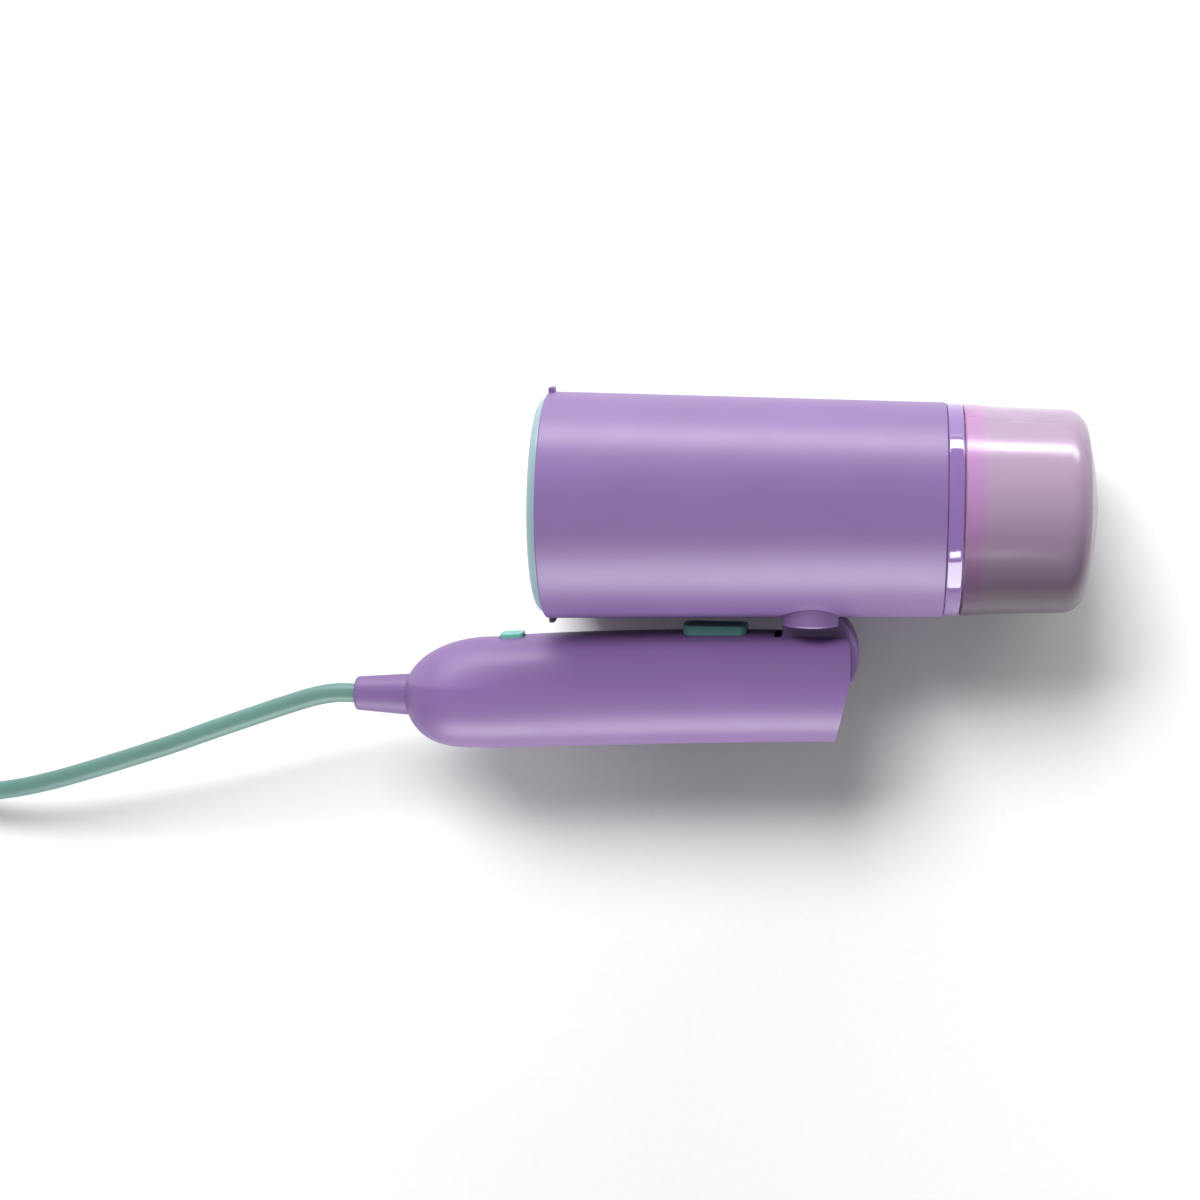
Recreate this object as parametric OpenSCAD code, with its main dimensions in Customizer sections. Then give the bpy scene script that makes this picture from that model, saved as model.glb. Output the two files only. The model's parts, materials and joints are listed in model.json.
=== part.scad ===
// Folding hand garment steamer: a tapered barrel head with a pull-off water tank behind it,
// and a round grip that folds up against the head on a hinge pin. Millimetres.
//
// The object lies flat on its side. +X runs along the head towards the tank, the grip lies on
// the -Y side, and +Z is up. The sizes below are measured from the axis of the head, with
// X = 0 at the front rim; stand() then moves every piece into the standing frame.

/* [Head] */
// Length of the barrel shell, front rim to glossy collar
head_len = 121.5; // [115:0.5:146]
// Outer radius of the shell at the front rim
head_r_front = 35.2; // [34:0.1:42]
// Outer radius of the shell at its rear end
head_r_rear = 32.7; // [30:0.1:38]
// Thickness of the shell wall
head_wall = 2.2; // [1.8:0.1:2.6]
// Edge radius of the front rim
rim_fillet = 0.7; // [0.4:0.1:0.8]
// Length of the glossy collar behind the shell
collar_len = 4.8; // [3:0.1:8]

/* [Steam end] */
// Distance the front bezel stands out of the rim
bezel_proud = 2.8; // [1.5:0.1:5]
// Wall left in the shell around the bezel
bezel_land = 1.5; // [1.2:0.1:1.6]
// Depth of the bezel inside the rim
bezel_depth = 7; // [5:0.5:9]
// Width of the bezel's flat front ring
bezel_face = 5.2; // [3:0.1:7]
// Thickness of the steam plate
plate_t = 2; // [1.5:0.1:2.4]
// Number of steam holes in the outer ring
steam_holes = 12; // [8:1:16]
// Radius of a steam hole
steam_hole_r = 1.5; // [1:0.1:2]

/* [Tank] */
// Length of the tank's body behind the collar
tank_len = 41; // [34:0.5:50]
// Outer radius of the tank at its front skirt
tank_r_front = 32.3; // [30:0.1:36]
// Outer radius of the tank at its rear end
tank_r_rear = 30.9; // [28:0.1:34]
// Thickness of the tank wall
tank_wall = 1.8; // [1.4:0.1:2.2]
// Corner radius at the rear end of the tank
tank_corner = 7; // [5:0.5:8]
// Bulge of the tank's end wall
tank_dome = 3.2; // [1:0.1:4]
// Length of the skirt that covers the spigot
skirt_len = 5.5; // [4:0.5:7]
// Radius of the filling hole in the end wall
fill_r = 7; // [5:0.5:9]

/* [Grip] */
// Radius of the knuckle's clearance inside the fork
fork_clear_r = 14.3; // [14.2:0.1:15]
// Half width of the grip from the flat of one side to the other
grip_half_w = 18; // [17:0.1:21]
// Thickness of the grip's wall
grip_wall = 2.4; // [2:0.1:3]
// Half width of the head's knuckle
knuckle_half_w = 6.5; // [5:0.1:8]
// Radius of the hinge pin
pin_r = 3; // [2.4:0.1:3.4]
// Angle of the grip's end cut to the plane across the head
end_cut_angle = 12; // [10:0.5:14]

/* [Controls] */
// Length of the trigger along the grip
trigger_len = 20; // [16:0.5:22]
// Width of the trigger
trigger_w = 11; // [8:0.5:13]
// Height the trigger stands above the grip
trigger_proud = 2.2; // [1.9:0.1:2.6]
// Travel of the trigger
trigger_travel = 1.8; // [1:0.1:1.8]
// Length of the power button along the grip
button_len = 7.6; // [6:0.1:9]
// Height the power button stands above the grip
button_proud = 1.3; // [1.1:0.1:1.6]
// Travel of the power button
button_travel = 1; // [0.6:0.1:1]

/* [Mains lead] */
// Diameter of the lead
cord_d = 6.2; // [6:0.1:6.4]
// Free length of the strain relief outside the grip
relief_len = 17; // [12:0.5:20]

/* [Fits] */
// Gap between pieces that touch but don't run in each other
fit = 0.05; // [0.02:0.01:0.1]
// Gap around pieces that slide or turn
run = 0.3; // [0.2:0.05:0.4]

/* [Hidden] */
$fn = 96;

head_taper = (head_r_front - head_r_rear) / head_len;
function head_r(x) = head_r_front - head_taper * x;
// Lowest line of the lying head, which touches the surface
floor_z = -head_r_front;

// The pieces of the hinge: pin centre, knuckle arc, ear and slot
pivot = [head_len - 36.6, -head_r_front - 10.6];
knuckle_c = pivot + [-4.6, 0.5];
knuckle_r = 16.4;
knuckle_reach = 13.9;
ear_r = 10.4;
ear_x = pivot[0] + 9.1;
neck_x0 = pivot[0] - 11.8;
neck_x1 = pivot[0] + 5.3;
neck_half_z = 17;
neck_under = pivot[1] + 10.9;
end_cut_dist = 9.9;

// Grip outline: top and bottom lines, then the rounded tail
grip_top_y = pivot[1] + 7.5;
grip_low_y = pivot[1] - 26.6;
// How far the two long lines draw in towards the tail
top_draw = 3.9;
low_draw = 4.7;
tail_x = pivot[0] - 131;
tail_tip_y = pivot[1] - 14.2;
top_round_x = tail_x + 28;
low_round_x = tail_x + 22;
side_round_x = tail_x + 21;
grip_end_x = pivot[0] + 12;
grip_rings = 28;
grip_sides = 40;

collar_x = head_len;
spigot_x = head_len + collar_len;
spigot_r = tank_r_front - tank_wall - run;
wall_x = spigot_x + skirt_len + run;
tank_x = spigot_x + run;
tank_end = spigot_x + tank_len;

// The relief's hole takes the very tip of the rounded tail away
tip_loss = 1.17;
base_x = (tank_end + tail_x + tip_loss) / 2;
lug_h = 1.5;
grip_lowest = min([for (x = [tail_x : 0.5 : grip_end_x]) grip_low(x)]);
base_y = (head_r(1.5) + lug_h + grip_lowest) / 2;

relief_y = tail_tip_y - 1;
relief_x = tail_x - relief_len + 1.1;

cord_r = cord_d / 2;
// The coil holds what is left of the lead: turns side by side, layers and mean radius
coil_wide = 4;
coil_high = 2;
coil_mean_r = 34.5;
coil_c = [-254, -60.5];
coil_outer = coil_mean_r + coil_wide * cord_r;
coil_inner = coil_mean_r - coil_wide * cord_r;
coil_x = coil_c[0] - coil_outer + cord_r;
plug_y = -3.5;
plug_z = floor_z + 13;
plug_len = 30;
plug_wide = 35;
plug_high = 26;
plug_shoulder = 8;
plug_neck_r = 6.5;
// The standard two-pin plug: radius, length and spacing of its pins
plug_pin_r = 2.4;
plug_pin_len = 19;
plug_pin_gap = 19;

// The route of the lead from the strain relief to the coil, laid by hand
cord_route = [
    [-62, -61, 0], [-68, -61, 0], [-75, -62.3, -0.5], [-84, -65.2, -1.2], [-96, -69.6, -2.6],
    [-110, -74.9, -4.9],
    [-124, -80.4, -7.4], [-139, -85.9, -10.2], [-154, -91.2, -13.2], [-169, -96.2, -16.4],
    [-184, -100.3, -20.0], [-199, -103.0, -23.8], [-214, -104.1, -27.4], [-229, -104.3, -30.2],
    [-242, -104.3, -31.7], [-254, -104.3, -32.1]
];
// The route from the coil to the plug's own strain relief
tail_route = [
    [-297.8, -60.5, -25.9], [-297.8, -52.5, -25.7], [-297.8, -44.5, -24.8], [-297.8, -36.5, -23.4],
    [-297.8, -28.5, -22.2], [-297.8, -21.5, -22.2]
];

// ---- helpers ----

module stand() translate([-base_x, -base_y, -floor_z]) children();

// Turns a profile of [radius, place along the head] about the head's axis
module spin_x() rotate([0, 90, 0]) rotate_extrude() children();

// A cylinder along +X whose first face stands at x
module rod_x(x, len, r, r2 = -1, y = 0, z = 0)
    translate([x, y, z]) rotate([0, 90, 0]) cylinder(h = len, r1 = r, r2 = r2 < 0 ? r : r2);

// A cylinder along +Y whose first face stands at y
module rod_y(y, len, r, x = 0, z = 0) translate([x, y, z]) rotate([-90, 0, 0]) cylinder(h = len, r = r);

module rod_z(z, len, r, at) translate([at[0], at[1], z]) cylinder(h = len, r = r);

function arc(c, r, from, to, steps = 8) =
    [for (i = [0 : steps]) c + r * [cos(from + (to - from) * i / steps), sin(from + (to - from) * i / steps)]];

function ellipse(rx, ry, steps = 48) =
    [for (i = [0 : steps - 1]) [rx * cos(360 * i / steps), ry * sin(360 * i / steps)]];

// ---- grip surface ----

// Gentle waist of the grip's two long lines, 0 at the fork and 1 at the tail
function along(x) = max(0, min(1, (grip_end_x - x) / (grip_end_x - top_round_x)));
function line_top(x) = grip_top_y - top_draw * pow(along(x), 2.6);
function line_low(x) = grip_low_y - low_draw * pow(along(x), 1.3);
function round_end(t, a) = sqrt(max(0, 1 - pow(max(0, min(1, t)), a)));
function grip_top(x) = tail_tip_y
    + (line_top(x) - tail_tip_y) * round_end((top_round_x - x) / (top_round_x - tail_x), 2);
function grip_low(x) = tail_tip_y
    + (line_low(x) - tail_tip_y) * round_end((low_round_x - x) / (low_round_x - tail_x), 2.7);
function grip_side(x) = grip_half_w * round_end((side_round_x - x) / (side_round_x - tail_x), 2.4);

// Signed power keeps the sign of a cosine in a squarish oval
function spow(v, p) = sign(v) * pow(abs(v), p);
function smooth(t) = let (c = max(0, min(1, t))) c * c * (3 - 2 * c);

// The sides are pared away above the tail's tip, which leaves a soft crease there
crease_y = tail_tip_y + 4.2;
function pare(x, y, top) = y > crease_y && top > crease_y
    ? 1 - 0.3 * (1 - smooth((x - tail_x - 14) / 26)) * (y - crease_y) / (top - crease_y) : 1;

function grip_point(x, a, wall) =
    let (top = grip_top(x) - wall, low = grip_low(x) + wall, mid = (top + low) / 2,
         y = mid + (top - low) / 2 * spow(sin(a), 0.88))
    [x, y, (grip_side(x) - wall) * spow(cos(a), 0.88) * pare(x, y, top)];

// Places of the rings, packed closely where the tail rounds off
function ring_x(i, x0, x1) = x0 + (x1 - x0) * pow(i / grip_rings, 2);

// Closed skin through rings of equal length, capped at both ends
module skin(rings) {
    n = len(rings[0]);
    m = len(rings);
    points = [for (ring = rings) each ring];
    sides = [for (i = [0 : m - 2]) for (j = [0 : n - 1])
        [i * n + j, i * n + (j + 1) % n, (i + 1) * n + (j + 1) % n, (i + 1) * n + j]];
    caps = [[for (j = [n - 1 : -1 : 0]) j], [for (j = [0 : n - 1]) (m - 1) * n + j]];
    polyhedron(points, concat(sides, caps), convexity = 6);
}

// The grip's solid from its tail to x1, shrunk by wall all round
module grip_solid(x0, x1, wall)
    skin([for (i = [0 : grip_rings]) [for (j = [0 : grip_sides - 1])
        grip_point(ring_x(i, x0, x1), 360 * j / grip_sides, wall)]]);

// Everything beyond the end cut, beside the ears' round corners and inside the fork's slot
module fork_cuts() {
    translate([pivot[0], pivot[1], 0]) rotate([0, 0, -end_cut_angle])
        translate([end_cut_dist, -60, -40]) cube([40, 100, 80]);
    translate([ear_x, pivot[1] - 30, -40]) cube([40, 60, 80]);
    difference() {
        translate([pivot[0], pivot[1], -40]) cube([40, 40, 80]);
        rod_z(-41, 82, ear_r, pivot);
    }
    slot = knuckle_half_w + run;
    rod_z(-slot, 2 * slot, fork_clear_r, pivot);
    translate([pivot[0], pivot[1] - fork_clear_r, -slot]) cube([40, fork_clear_r + 40, 2 * slot]);
    translate([pivot[0] - fork_clear_r, pivot[1], -slot]) cube([fork_clear_r + 40, 40, 2 * slot]);
}

boss_places = [[tail_x + 30, grip_low_y + 1], [pivot[0] - 68, grip_low_y + 5], [pivot[0] - 22, grip_low_y + 7]];
boss_r = 3.6;
screw_r = 1.5;
screw_head_r = 2.8;
// Play of a screw in the piece it passes through
screw_play = 0.2;

// Openings that both halves of the grip share
module grip_openings() {
    fork_cuts();
    trigger_hole();
    button_hole();
    rod_x(tail_x - 5, 12, relief_seat_r + fit, y = relief_y);
    rod_z(-pin_half - fit, 2 * (pin_half + fit), pin_r + fit, pivot);
    detent_hole();
}

module grip_half(up) {
    flip = up ? 1 : -1;
    difference() {
        intersection() {
            union() {
                difference() {
                    grip_solid(tail_x, grip_end_x, 0);
                    grip_solid(tail_x + grip_wall, pivot[0] - fork_clear_r - grip_wall, grip_wall);
                }
                intersection() {
                    grip_solid(tail_x, grip_end_x, 0);
                    for (at = boss_places) rod_z(-30, 60, boss_r, at);
                }
            }
            translate([tail_x - 5, grip_low_y - 20, up ? 0 : -40]) cube([170, 60, 40]);
        }
        grip_openings();
        // Screws enter from the lower half, in a recess for the head
        for (at = boss_places) {
            if (up) rod_z(-1, 11, screw_r, at);
            else {
                rod_z(-20, 21, screw_r + screw_play, at);
                rod_z(-30, 22, screw_head_r + run, at);
            }
        }
    }
}

module grip_upper() color([0.62, 0.51, 0.72]) stand() grip_half(true);
module grip_lower() color([0.60, 0.49, 0.70]) stand() grip_half(false);

module grip_screws() color("silver") stand() for (at = boss_places) {
    rod_z(-8, 16, screw_r - fit, at);
    difference() {
        rod_z(-10.2, 2.2, screw_head_r, at);
        rod_z(-10.4, 1.2, 1.1, at, $fn = 6);
    }
}

// ---- hinge ----

pin_half = 13.6;

module hinge_pin() color("gray") stand() difference() {
    rod_z(-pin_half, 2 * pin_half, pin_r, pivot);
    for (side = [-1, 1]) translate([pivot[0], pivot[1], side * pin_half])
        rotate_extrude() translate([pin_r, 0]) rotate(45) square(0.6, center = true);
}

module knuckle_outline() {
    intersection() {
        translate(knuckle_c) circle(knuckle_r);
        union() {
            translate(pivot) circle(knuckle_reach);
            translate([neck_x0, pivot[1]]) square([40, 40]);
        }
        translate([neck_x0 - 2.1, pivot[1] - 40]) square([60, 60]);
    }
    translate([neck_x0, pivot[1] + 2]) square([neck_x1 - neck_x0, 30]);
}

module head_outer_solid(grow = 0) rod_x(-1, head_len + 2, head_r(-1) + grow, head_r(head_len + 1) + grow);

// The saddle under the barrel, its web and the knuckle between the grip's ears
module hinge_neck() color([0.60, 0.49, 0.70]) stand() difference() {
    union() {
        translate([(neck_x0 + neck_x1) / 2, neck_under, 0]) rotate([-90, 0, 0])
            linear_extrude(15) intersection() {
                polygon(ellipse((neck_x1 - neck_x0) / 2 + 3, neck_half_z));
                square([neck_x1 - neck_x0, 2 * neck_half_z], center = true);
            }
        translate([0, 0, -knuckle_half_w]) linear_extrude(2 * knuckle_half_w) knuckle_outline();
    }
    head_outer_solid();
    rod_z(-20, 40, pin_r + fit, pivot);
    // Recesses for the friction washers
    for (side = [-1, 1]) rod_z(side * knuckle_half_w - 0.6, 1.2, washer_r + fit, pivot);
    for (x = neck_screw_x) rod_y(neck_under + 1.5, 20, screw_r + fit, x = x);
}

washer_r = 6;
neck_screw_x = [neck_x0 + 4, neck_x1 - 4];

module neck_screws() color("silver") stand() for (x = neck_screw_x) {
    rod_y(neck_under + 3, head_wall + 0.3 - neck_under - 3 - head_r(x), screw_r, x = x);
    rod_y(-head_r(x) + head_wall + 0.3, 2, screw_head_r, x = x);
}

module hinge_washers() color("gainsboro") stand() for (side = [-1, 1]) difference() {
    translate([0, 0, side * (knuckle_half_w - 0.3)]) rod_z(-0.25, 0.5, washer_r, pivot);
    rod_z(-20, 40, pin_r + fit, pivot);
}

// A nylon plunger in the grip that presses on the knuckle
detent_y = pivot[1] - 4;
detent_r = 2;
detent_x = pivot[0] - fork_clear_r - grip_wall;

module detent_hole() rod_x(detent_x - 8, 12, detent_r + fit, y = detent_y);

module detent_plunger() color("ivory") stand() {
    rod_x(detent_x - 2, 2.7, detent_r, y = detent_y);
    intersection() {
        translate([detent_x + 0.7, detent_y, 0]) sphere(detent_r);
        rod_x(detent_x + 0.7, 6, 2.5, y = detent_y);
    }
}

detent_spring_len = 3.5;
module detent_spring() color("silver") stand() difference() {
    rod_x(detent_x - 2 - detent_spring_len, detent_spring_len, 1.8, y = detent_y);
    rod_x(detent_x - 3 - detent_spring_len, detent_spring_len + 2, 1.2, y = detent_y);
}

// ---- head ----

module shell_profile() {
    land_r = head_r_front - bezel_land;
    polygon(concat(
        arc([head_r(0) - rim_fillet, rim_fillet], rim_fillet, 0, -90, 6),
        [[land_r, 0], [land_r, bezel_depth], [land_r - 1.2, bezel_depth + 1.2],
         [head_r(bezel_depth + 4) - head_wall, bezel_depth + 4],
         [head_r(head_len) - head_wall, head_len], [head_r(head_len), head_len]]
    ));
}

// Bayonet lugs of the brush attachment, above and below the rim
module brush_lugs() for (side = [-1, 1]) translate([0.3, side * (head_r(1.2) - 1), -3])
    cube_about_y(side);

module cube_about_y(side) translate([0, side > 0 ? 0 : -lug_h - 1, 0]) cube([1.8, lug_h + 1, 6]);

module head_shell() color([0.71, 0.60, 0.80]) stand() difference() {
    union() {
        spin_x() shell_profile();
        difference() {
            brush_lugs();
            rod_x(-1, 10, head_r_front - bezel_land);
        }
    }
    for (x = neck_screw_x) rod_y(-40, 20, screw_r + fit, x = x);
    // Passage for the wires from the grip, through the saddle
    rod_y(-40, 20, wire_hole_r, x = (neck_x0 + neck_x1) / 2);
}

wire_hole_r = 2.4;
bezel_r = head_r_front - bezel_land - fit;
plate_r = bezel_r - bezel_face - fit;

module front_bezel() color([0.55, 0.85, 0.80]) stand() spin_x() polygon(concat(
    [[plate_r + fit, -bezel_proud + 1]],
    arc([plate_r + fit + 1, -bezel_proud + 1], 1, 180, 270, 4),
    arc([bezel_r - 3.2, -bezel_proud + 3.2], 3.2, -90, 0, 8),
    [[bezel_r, bezel_depth - fit], [bezel_r - 1.6, bezel_depth - fit], [bezel_r - 1.6, 2.4], [plate_r + fit, 2.4]]
));

plate_x = -bezel_proud + 0.9;

module steam_plate() color([0.80, 0.80, 0.82]) stand() difference() {
    rod_x(plate_x, plate_t, plate_r);
    for (i = [0 : steam_holes - 1]) rotate([360 * i / steam_holes, 0, 0])
        rod_x(plate_x - 1, plate_t + 2, steam_hole_r, y = plate_r * 0.68);
    for (i = [0 : steam_holes / 2 - 1]) rotate([720 * i / steam_holes, 0, 0])
        rod_x(plate_x - 1, plate_t + 2, steam_hole_r, y = plate_r * 0.36);
}

seal_x = plate_x + plate_t;
chamber_x = seal_x + 1.5;
chamber_r = 26;
chamber_len = 26;
chamber_wall = 3;
// Screws of the chamber's cover: angles round the axis and distance from it
cover_screw_angles = [45 : 90 : 315];
cover_screw_y = chamber_r - chamber_wall;

module plate_seal() color("dimgray") stand() difference() {
    rod_x(seal_x, 1.5, chamber_r);
    rod_x(seal_x - 1, 4, chamber_r - chamber_wall);
}

module steam_chamber() color([0.75, 0.75, 0.77]) stand() difference() {
    rod_x(chamber_x, chamber_len, chamber_r);
    rod_x(chamber_x - 1, 9, chamber_r - chamber_wall);
    // Labyrinth behind the steam holes
    for (r = [8, 16]) difference() {
        rod_x(chamber_x - 1, 15, r + 2.5);
        rod_x(chamber_x - 2, 17, r - 1);
    }
    // Groove of the heating element
    rotate([0, 90, 0]) translate([0, 0, cover_x])
        rotate_extrude() translate([element_ring_r, 0]) circle(element_r + fit);
    rod_x(chamber_x + 5, chamber_len, inlet_r);
    for (a = cover_screw_angles) rotate([a, 0, 0]) rod_x(cover_x - 8, 9, screw_r, y = cover_screw_y);
}

element_ring_r = 15;
element_r = 3;
element_pin_r = 1.6;
element_pin_angles = [-12, 12];
cover_x = chamber_x + chamber_len;
cover_t = 2;
// Inlet of the chamber, through the cover
inlet_r = 2.5;

module heating_element() color("darkgray") stand() {
    rotate([0, 90, 0]) translate([0, 0, cover_x])
        rotate_extrude() translate([element_ring_r, 0]) intersection() {
            circle(element_r);
            translate([-5, -5]) square([10, 5]);
        }
    for (a = element_pin_angles) rotate([a, 0, 0]) rod_x(cover_x, 12, element_pin_r, y = element_ring_r);
}

module chamber_cover() color([0.65, 0.65, 0.68]) stand() difference() {
    rod_x(cover_x, cover_t, chamber_r);
    for (a = element_pin_angles) rotate([a, 0, 0]) rod_x(cover_x - 1, 4, element_pin_r + fit, y = element_ring_r);
    rod_x(cover_x - 1, 4, inlet_r);
    for (a = cover_screw_angles) rotate([a, 0, 0]) rod_x(cover_x - 1, 4, screw_r + screw_play, y = cover_screw_y);
}

module cover_screws() color("silver") stand() for (a = cover_screw_angles) rotate([a, 0, 0]) {
    rod_x(cover_x - 6, 8, screw_r - fit, y = cover_screw_y);
    rod_x(cover_x + cover_t, 1.8, screw_head_r, y = cover_screw_y);
}

// Heat shield sleeve between the chamber and the shell
module chamber_insulator() color("wheat") stand() difference() {
    rod_x(chamber_x + 9, 24, chamber_r + 2.2);
    rod_x(chamber_x + 8, 26, chamber_r + 0.7);
}

module thermostat() color("black") stand() {
    rod_x(cover_x + cover_t, 5, 7, y = -12);
    for (z = [-4, 4]) translate([cover_x + 7, -15, z - 1.5]) cube([7, 6, 0.8]);
}

module thermal_fuse() color("white") stand() {
    translate([cover_x + 4, 2, 12]) rotate([-90, 0, 0]) cylinder(h = 12, r = 2);
    translate([cover_x + 2, 4, 11]) cube([2, 8, 2]);
}

pump_x = 62;
pump_len = 24;
pump_r = 12;
// Sheet of the pump's yoke, necks that the hoses slip over, and the hoses
yoke_t = 2;
hose_neck_r = 2.2;
hose_r = 3.6;

module water_pump() color([0.2, 0.2, 0.22]) stand() {
    // Solenoid coil, then the metal yoke and the inlet and outlet necks
    rod_x(pump_x, pump_len, pump_r);
    for (x = [pump_x - yoke_t, pump_x + pump_len]) translate([x, -11, -13]) cube([yoke_t, 22, 26]);
    rod_x(pump_x - 14, 12, 5);
    rod_x(pump_x + 26, 10, 5);
    rod_x(pump_x - 20, 6, hose_neck_r);
    rod_x(pump_x + 36, 4, hose_neck_r);
}

module pump_bracket() color("dimgray") stand() difference() {
    translate([pump_x + 4, -24, -14]) cube([14, 48, 4]);
    rod_x(pump_x - 1, 30, pump_r + fit);
}

// Silicone hose from the pump to the chamber's inlet
module feed_hose() color("white") stand() difference() {
    rod_x(cover_x + cover_t, pump_x - 20 - cover_x + 3, hose_r);
    rod_x(cover_x + 1, 40, hose_neck_r + fit);
}

module suction_hose() color("white") stand() difference() {
    rod_x(pump_x + 36.5, socket_x - pump_x - 36.5 - fit, hose_r);
    rod_x(pump_x + 35, 60, hose_neck_r + fit);
}

module control_board() color([0.1, 0.45, 0.25]) stand() {
    translate([pump_x - 4, -16, 20]) cube([38, 32, 1.6]);
    translate([pump_x + 2, -10, 21.6]) cube([10, 8, 4]);
    translate([pump_x + 18, 2, 21.6]) cube([8, 8, 5]);
    rod_z(21.6, 4, 3, [pump_x + 20, -8]);
}

// ---- rear end of the head ----

module rear_collar() color([0.66, 0.55, 0.76]) stand() spin_x() polygon(concat(
    [[spigot_r + fit, collar_x]],
    arc([tank_r_front + 0.25 - 0.8, collar_x + 0.8], 0.8, -90, 0, 4),
    arc([tank_r_front + 0.25 - 0.8, spigot_x - 0.8], 0.8, 0, 90, 4),
    [[spigot_r + fit, spigot_x]]
));

socket_r = 6.4;
socket_x = head_len - 8;

module tank_spigot() color([0.80, 0.60, 0.78]) stand() difference() {
    union() {
        rod_x(head_len - 2, 3, spigot_r);
        difference() {
            rod_x(head_len, collar_len + skirt_len - fit, spigot_r);
            rod_x(head_len - 1, collar_len + skirt_len + 4, spigot_r - 1.8);
        }
        rod_x(socket_x, head_len - socket_x + 4, socket_r + 2);
    }
    rod_x(socket_x + 2, 30, socket_r);
    rod_x(socket_x - 1, 5, 2);
    // Room inside the shell's end
    difference() {
        rod_x(head_len - 3, 3, spigot_r + 2);
        rod_x(head_len - 4, 5, head_r_rear - head_wall - fit);
    }
}

// ---- tank ----

dome_steps = 6;
module tank_outer(cut = 0) {
    r1 = tank_r_rear - cut;
    corner = tank_corner - cut;
    polygon(concat(
        [[0, tank_x], [tank_r_front - cut, tank_x], [tank_r_front - cut - 0.8, tank_x + 10]],
        arc([r1 - corner, tank_end - tank_dome - cut - corner], corner, 0, 75, 8),
        [for (i = [dome_steps : -1 : 0]) let (share = i / (dome_steps + 1))
            [(r1 - corner) * share, tank_end - cut - tank_dome * share * share]]
    ));
}

module tank_shell() color([0.78, 0.66, 0.80, 0.55]) stand() difference() {
    spin_x() difference() {
        tank_outer();
        tank_outer(tank_wall);
        square([tank_r_front - tank_wall, tank_x + 2]);
    }
    rod_x(tank_end - 8, 12, fill_r);
    // Straight seat of the spigot inside the skirt
    rod_x(tank_x - 1, wall_x + 1 - tank_x, spigot_r + run);
}

wall_r = tank_r_front - tank_wall - 0.6;

module tank_front() color([0.78, 0.66, 0.80]) stand() difference() {
    union() {
        rod_x(wall_x, 2, wall_r, wall_r - 0.2);
        rod_x(nozzle_x, wall_x - nozzle_x + 2, nozzle_r);
        // Cage of the valve spring
        rod_x(wall_x + 2, 12, 6.4);
    }
    rod_x(nozzle_x - 1, wall_x - nozzle_x + 4, 3.2);
    rod_x(wall_x + 2, 10.5, 5.2);
    rod_x(wall_x, 30, 1.5);
    for (a = [0 : 90 : 270]) rotate([a, 0, 0]) translate([wall_x + 3, 4, -1.5]) cube([5, 6, 3]);
    rod_y(-30, 25.5, tube_r + fit, x = wall_x + 9);
    // Groove of the seal
    rotate([0, 90, 0]) translate([0, 0, seal_ring_x])
        rotate_extrude() translate([nozzle_r, 0]) circle(seal_ring_r + fit);
}

nozzle_x = head_len + 1;
nozzle_r = 5.2;
seal_ring_x = nozzle_x + 2.6;
seal_ring_r = 0.9;

module nozzle_seal() color("black") stand() rotate([0, 90, 0]) translate([0, 0, seal_ring_x])
    rotate_extrude() translate([nozzle_r, 0]) circle(seal_ring_r);

module valve_plunger() color("white") stand() {
    rod_x(nozzle_x + 1, wall_x - nozzle_x + 12, 1.2);
    rod_x(wall_x + 4.2, 1.5, 4.6);
}

module valve_spring() color("silver") stand() difference() {
    rod_x(wall_x + 5.7 + fit, 6.7, 3.6);
    rod_x(wall_x + 5, 9, 3);
}

// Silicone plug with a pull tab, flush in the end wall
module filler_plug() color([0.75, 0.62, 0.80]) stand() {
    rod_x(tank_end - 7, 6.6, fill_r - 0.3, fill_r - 0.1);
    translate([tank_end - 0.4, -3, -1]) cube([0.4, 6, 2]);
}

// Hose that draws water from the low side of the tank
tube_r = 2;
tube_low = -27;
module suction_tube() color("white") stand() {
    rod_y(tube_low + 4, -5.6 - tube_low - 4, tube_r, x = wall_x + 9);
    rod_y(tube_low, 4, 4, x = wall_x + 9);
}

// ---- controls ----

trigger_x = pivot[0] - 32.6;
trigger_top = line_top(trigger_x) + trigger_proud;
trigger_deep = 7;
trigger_floor = trigger_top - trigger_deep;
// Flange that keeps the trigger in the grip
flange_t = 1.6;
bar_corner = 3;
spring_at = trigger_len / 2 - 3.5;
trigger_spring_r = 2.7;
switch_len = 13;
switch_x = trigger_x + spring_at - trigger_spring_r - 0.8 - switch_len;

module round_bar(len, w, h, r) {
    // A bar with round ends, standing on y = 0
    rotate([-90, 0, 0]) linear_extrude(h) {
        square([len - 2 * r, w], center = true);
        square([len, w - 2 * r], center = true);
        for (x = [-1, 1], z = [-1, 1]) translate([x * (len / 2 - r), z * (w / 2 - r)]) circle(r);
    }
}

module trigger_hole() translate([trigger_x, trigger_floor - 1, 0])
    round_bar(trigger_len + 2 * run, trigger_w + 2 * run, 20, bar_corner + run);

module trigger() color([0.35, 0.70, 0.65]) stand() difference() {
    union() {
        translate([trigger_x, trigger_floor, 0])
            round_bar(trigger_len, trigger_w, trigger_deep, bar_corner);
        translate([trigger_x, trigger_floor - 1.4, 0])
            round_bar(trigger_len + 5, trigger_w + 4, flange_t, bar_corner);
    }
    rod_y(trigger_floor - 2, 4, 3, x = trigger_x + spring_at);
}

module trigger_spring() color("silver") stand() difference() {
    rod_y(trigger_floor - 6.5, 8.4, trigger_spring_r, x = trigger_x + spring_at);
    rod_y(trigger_floor - 7.5, 12, 2, x = trigger_x + spring_at);
}

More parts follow.
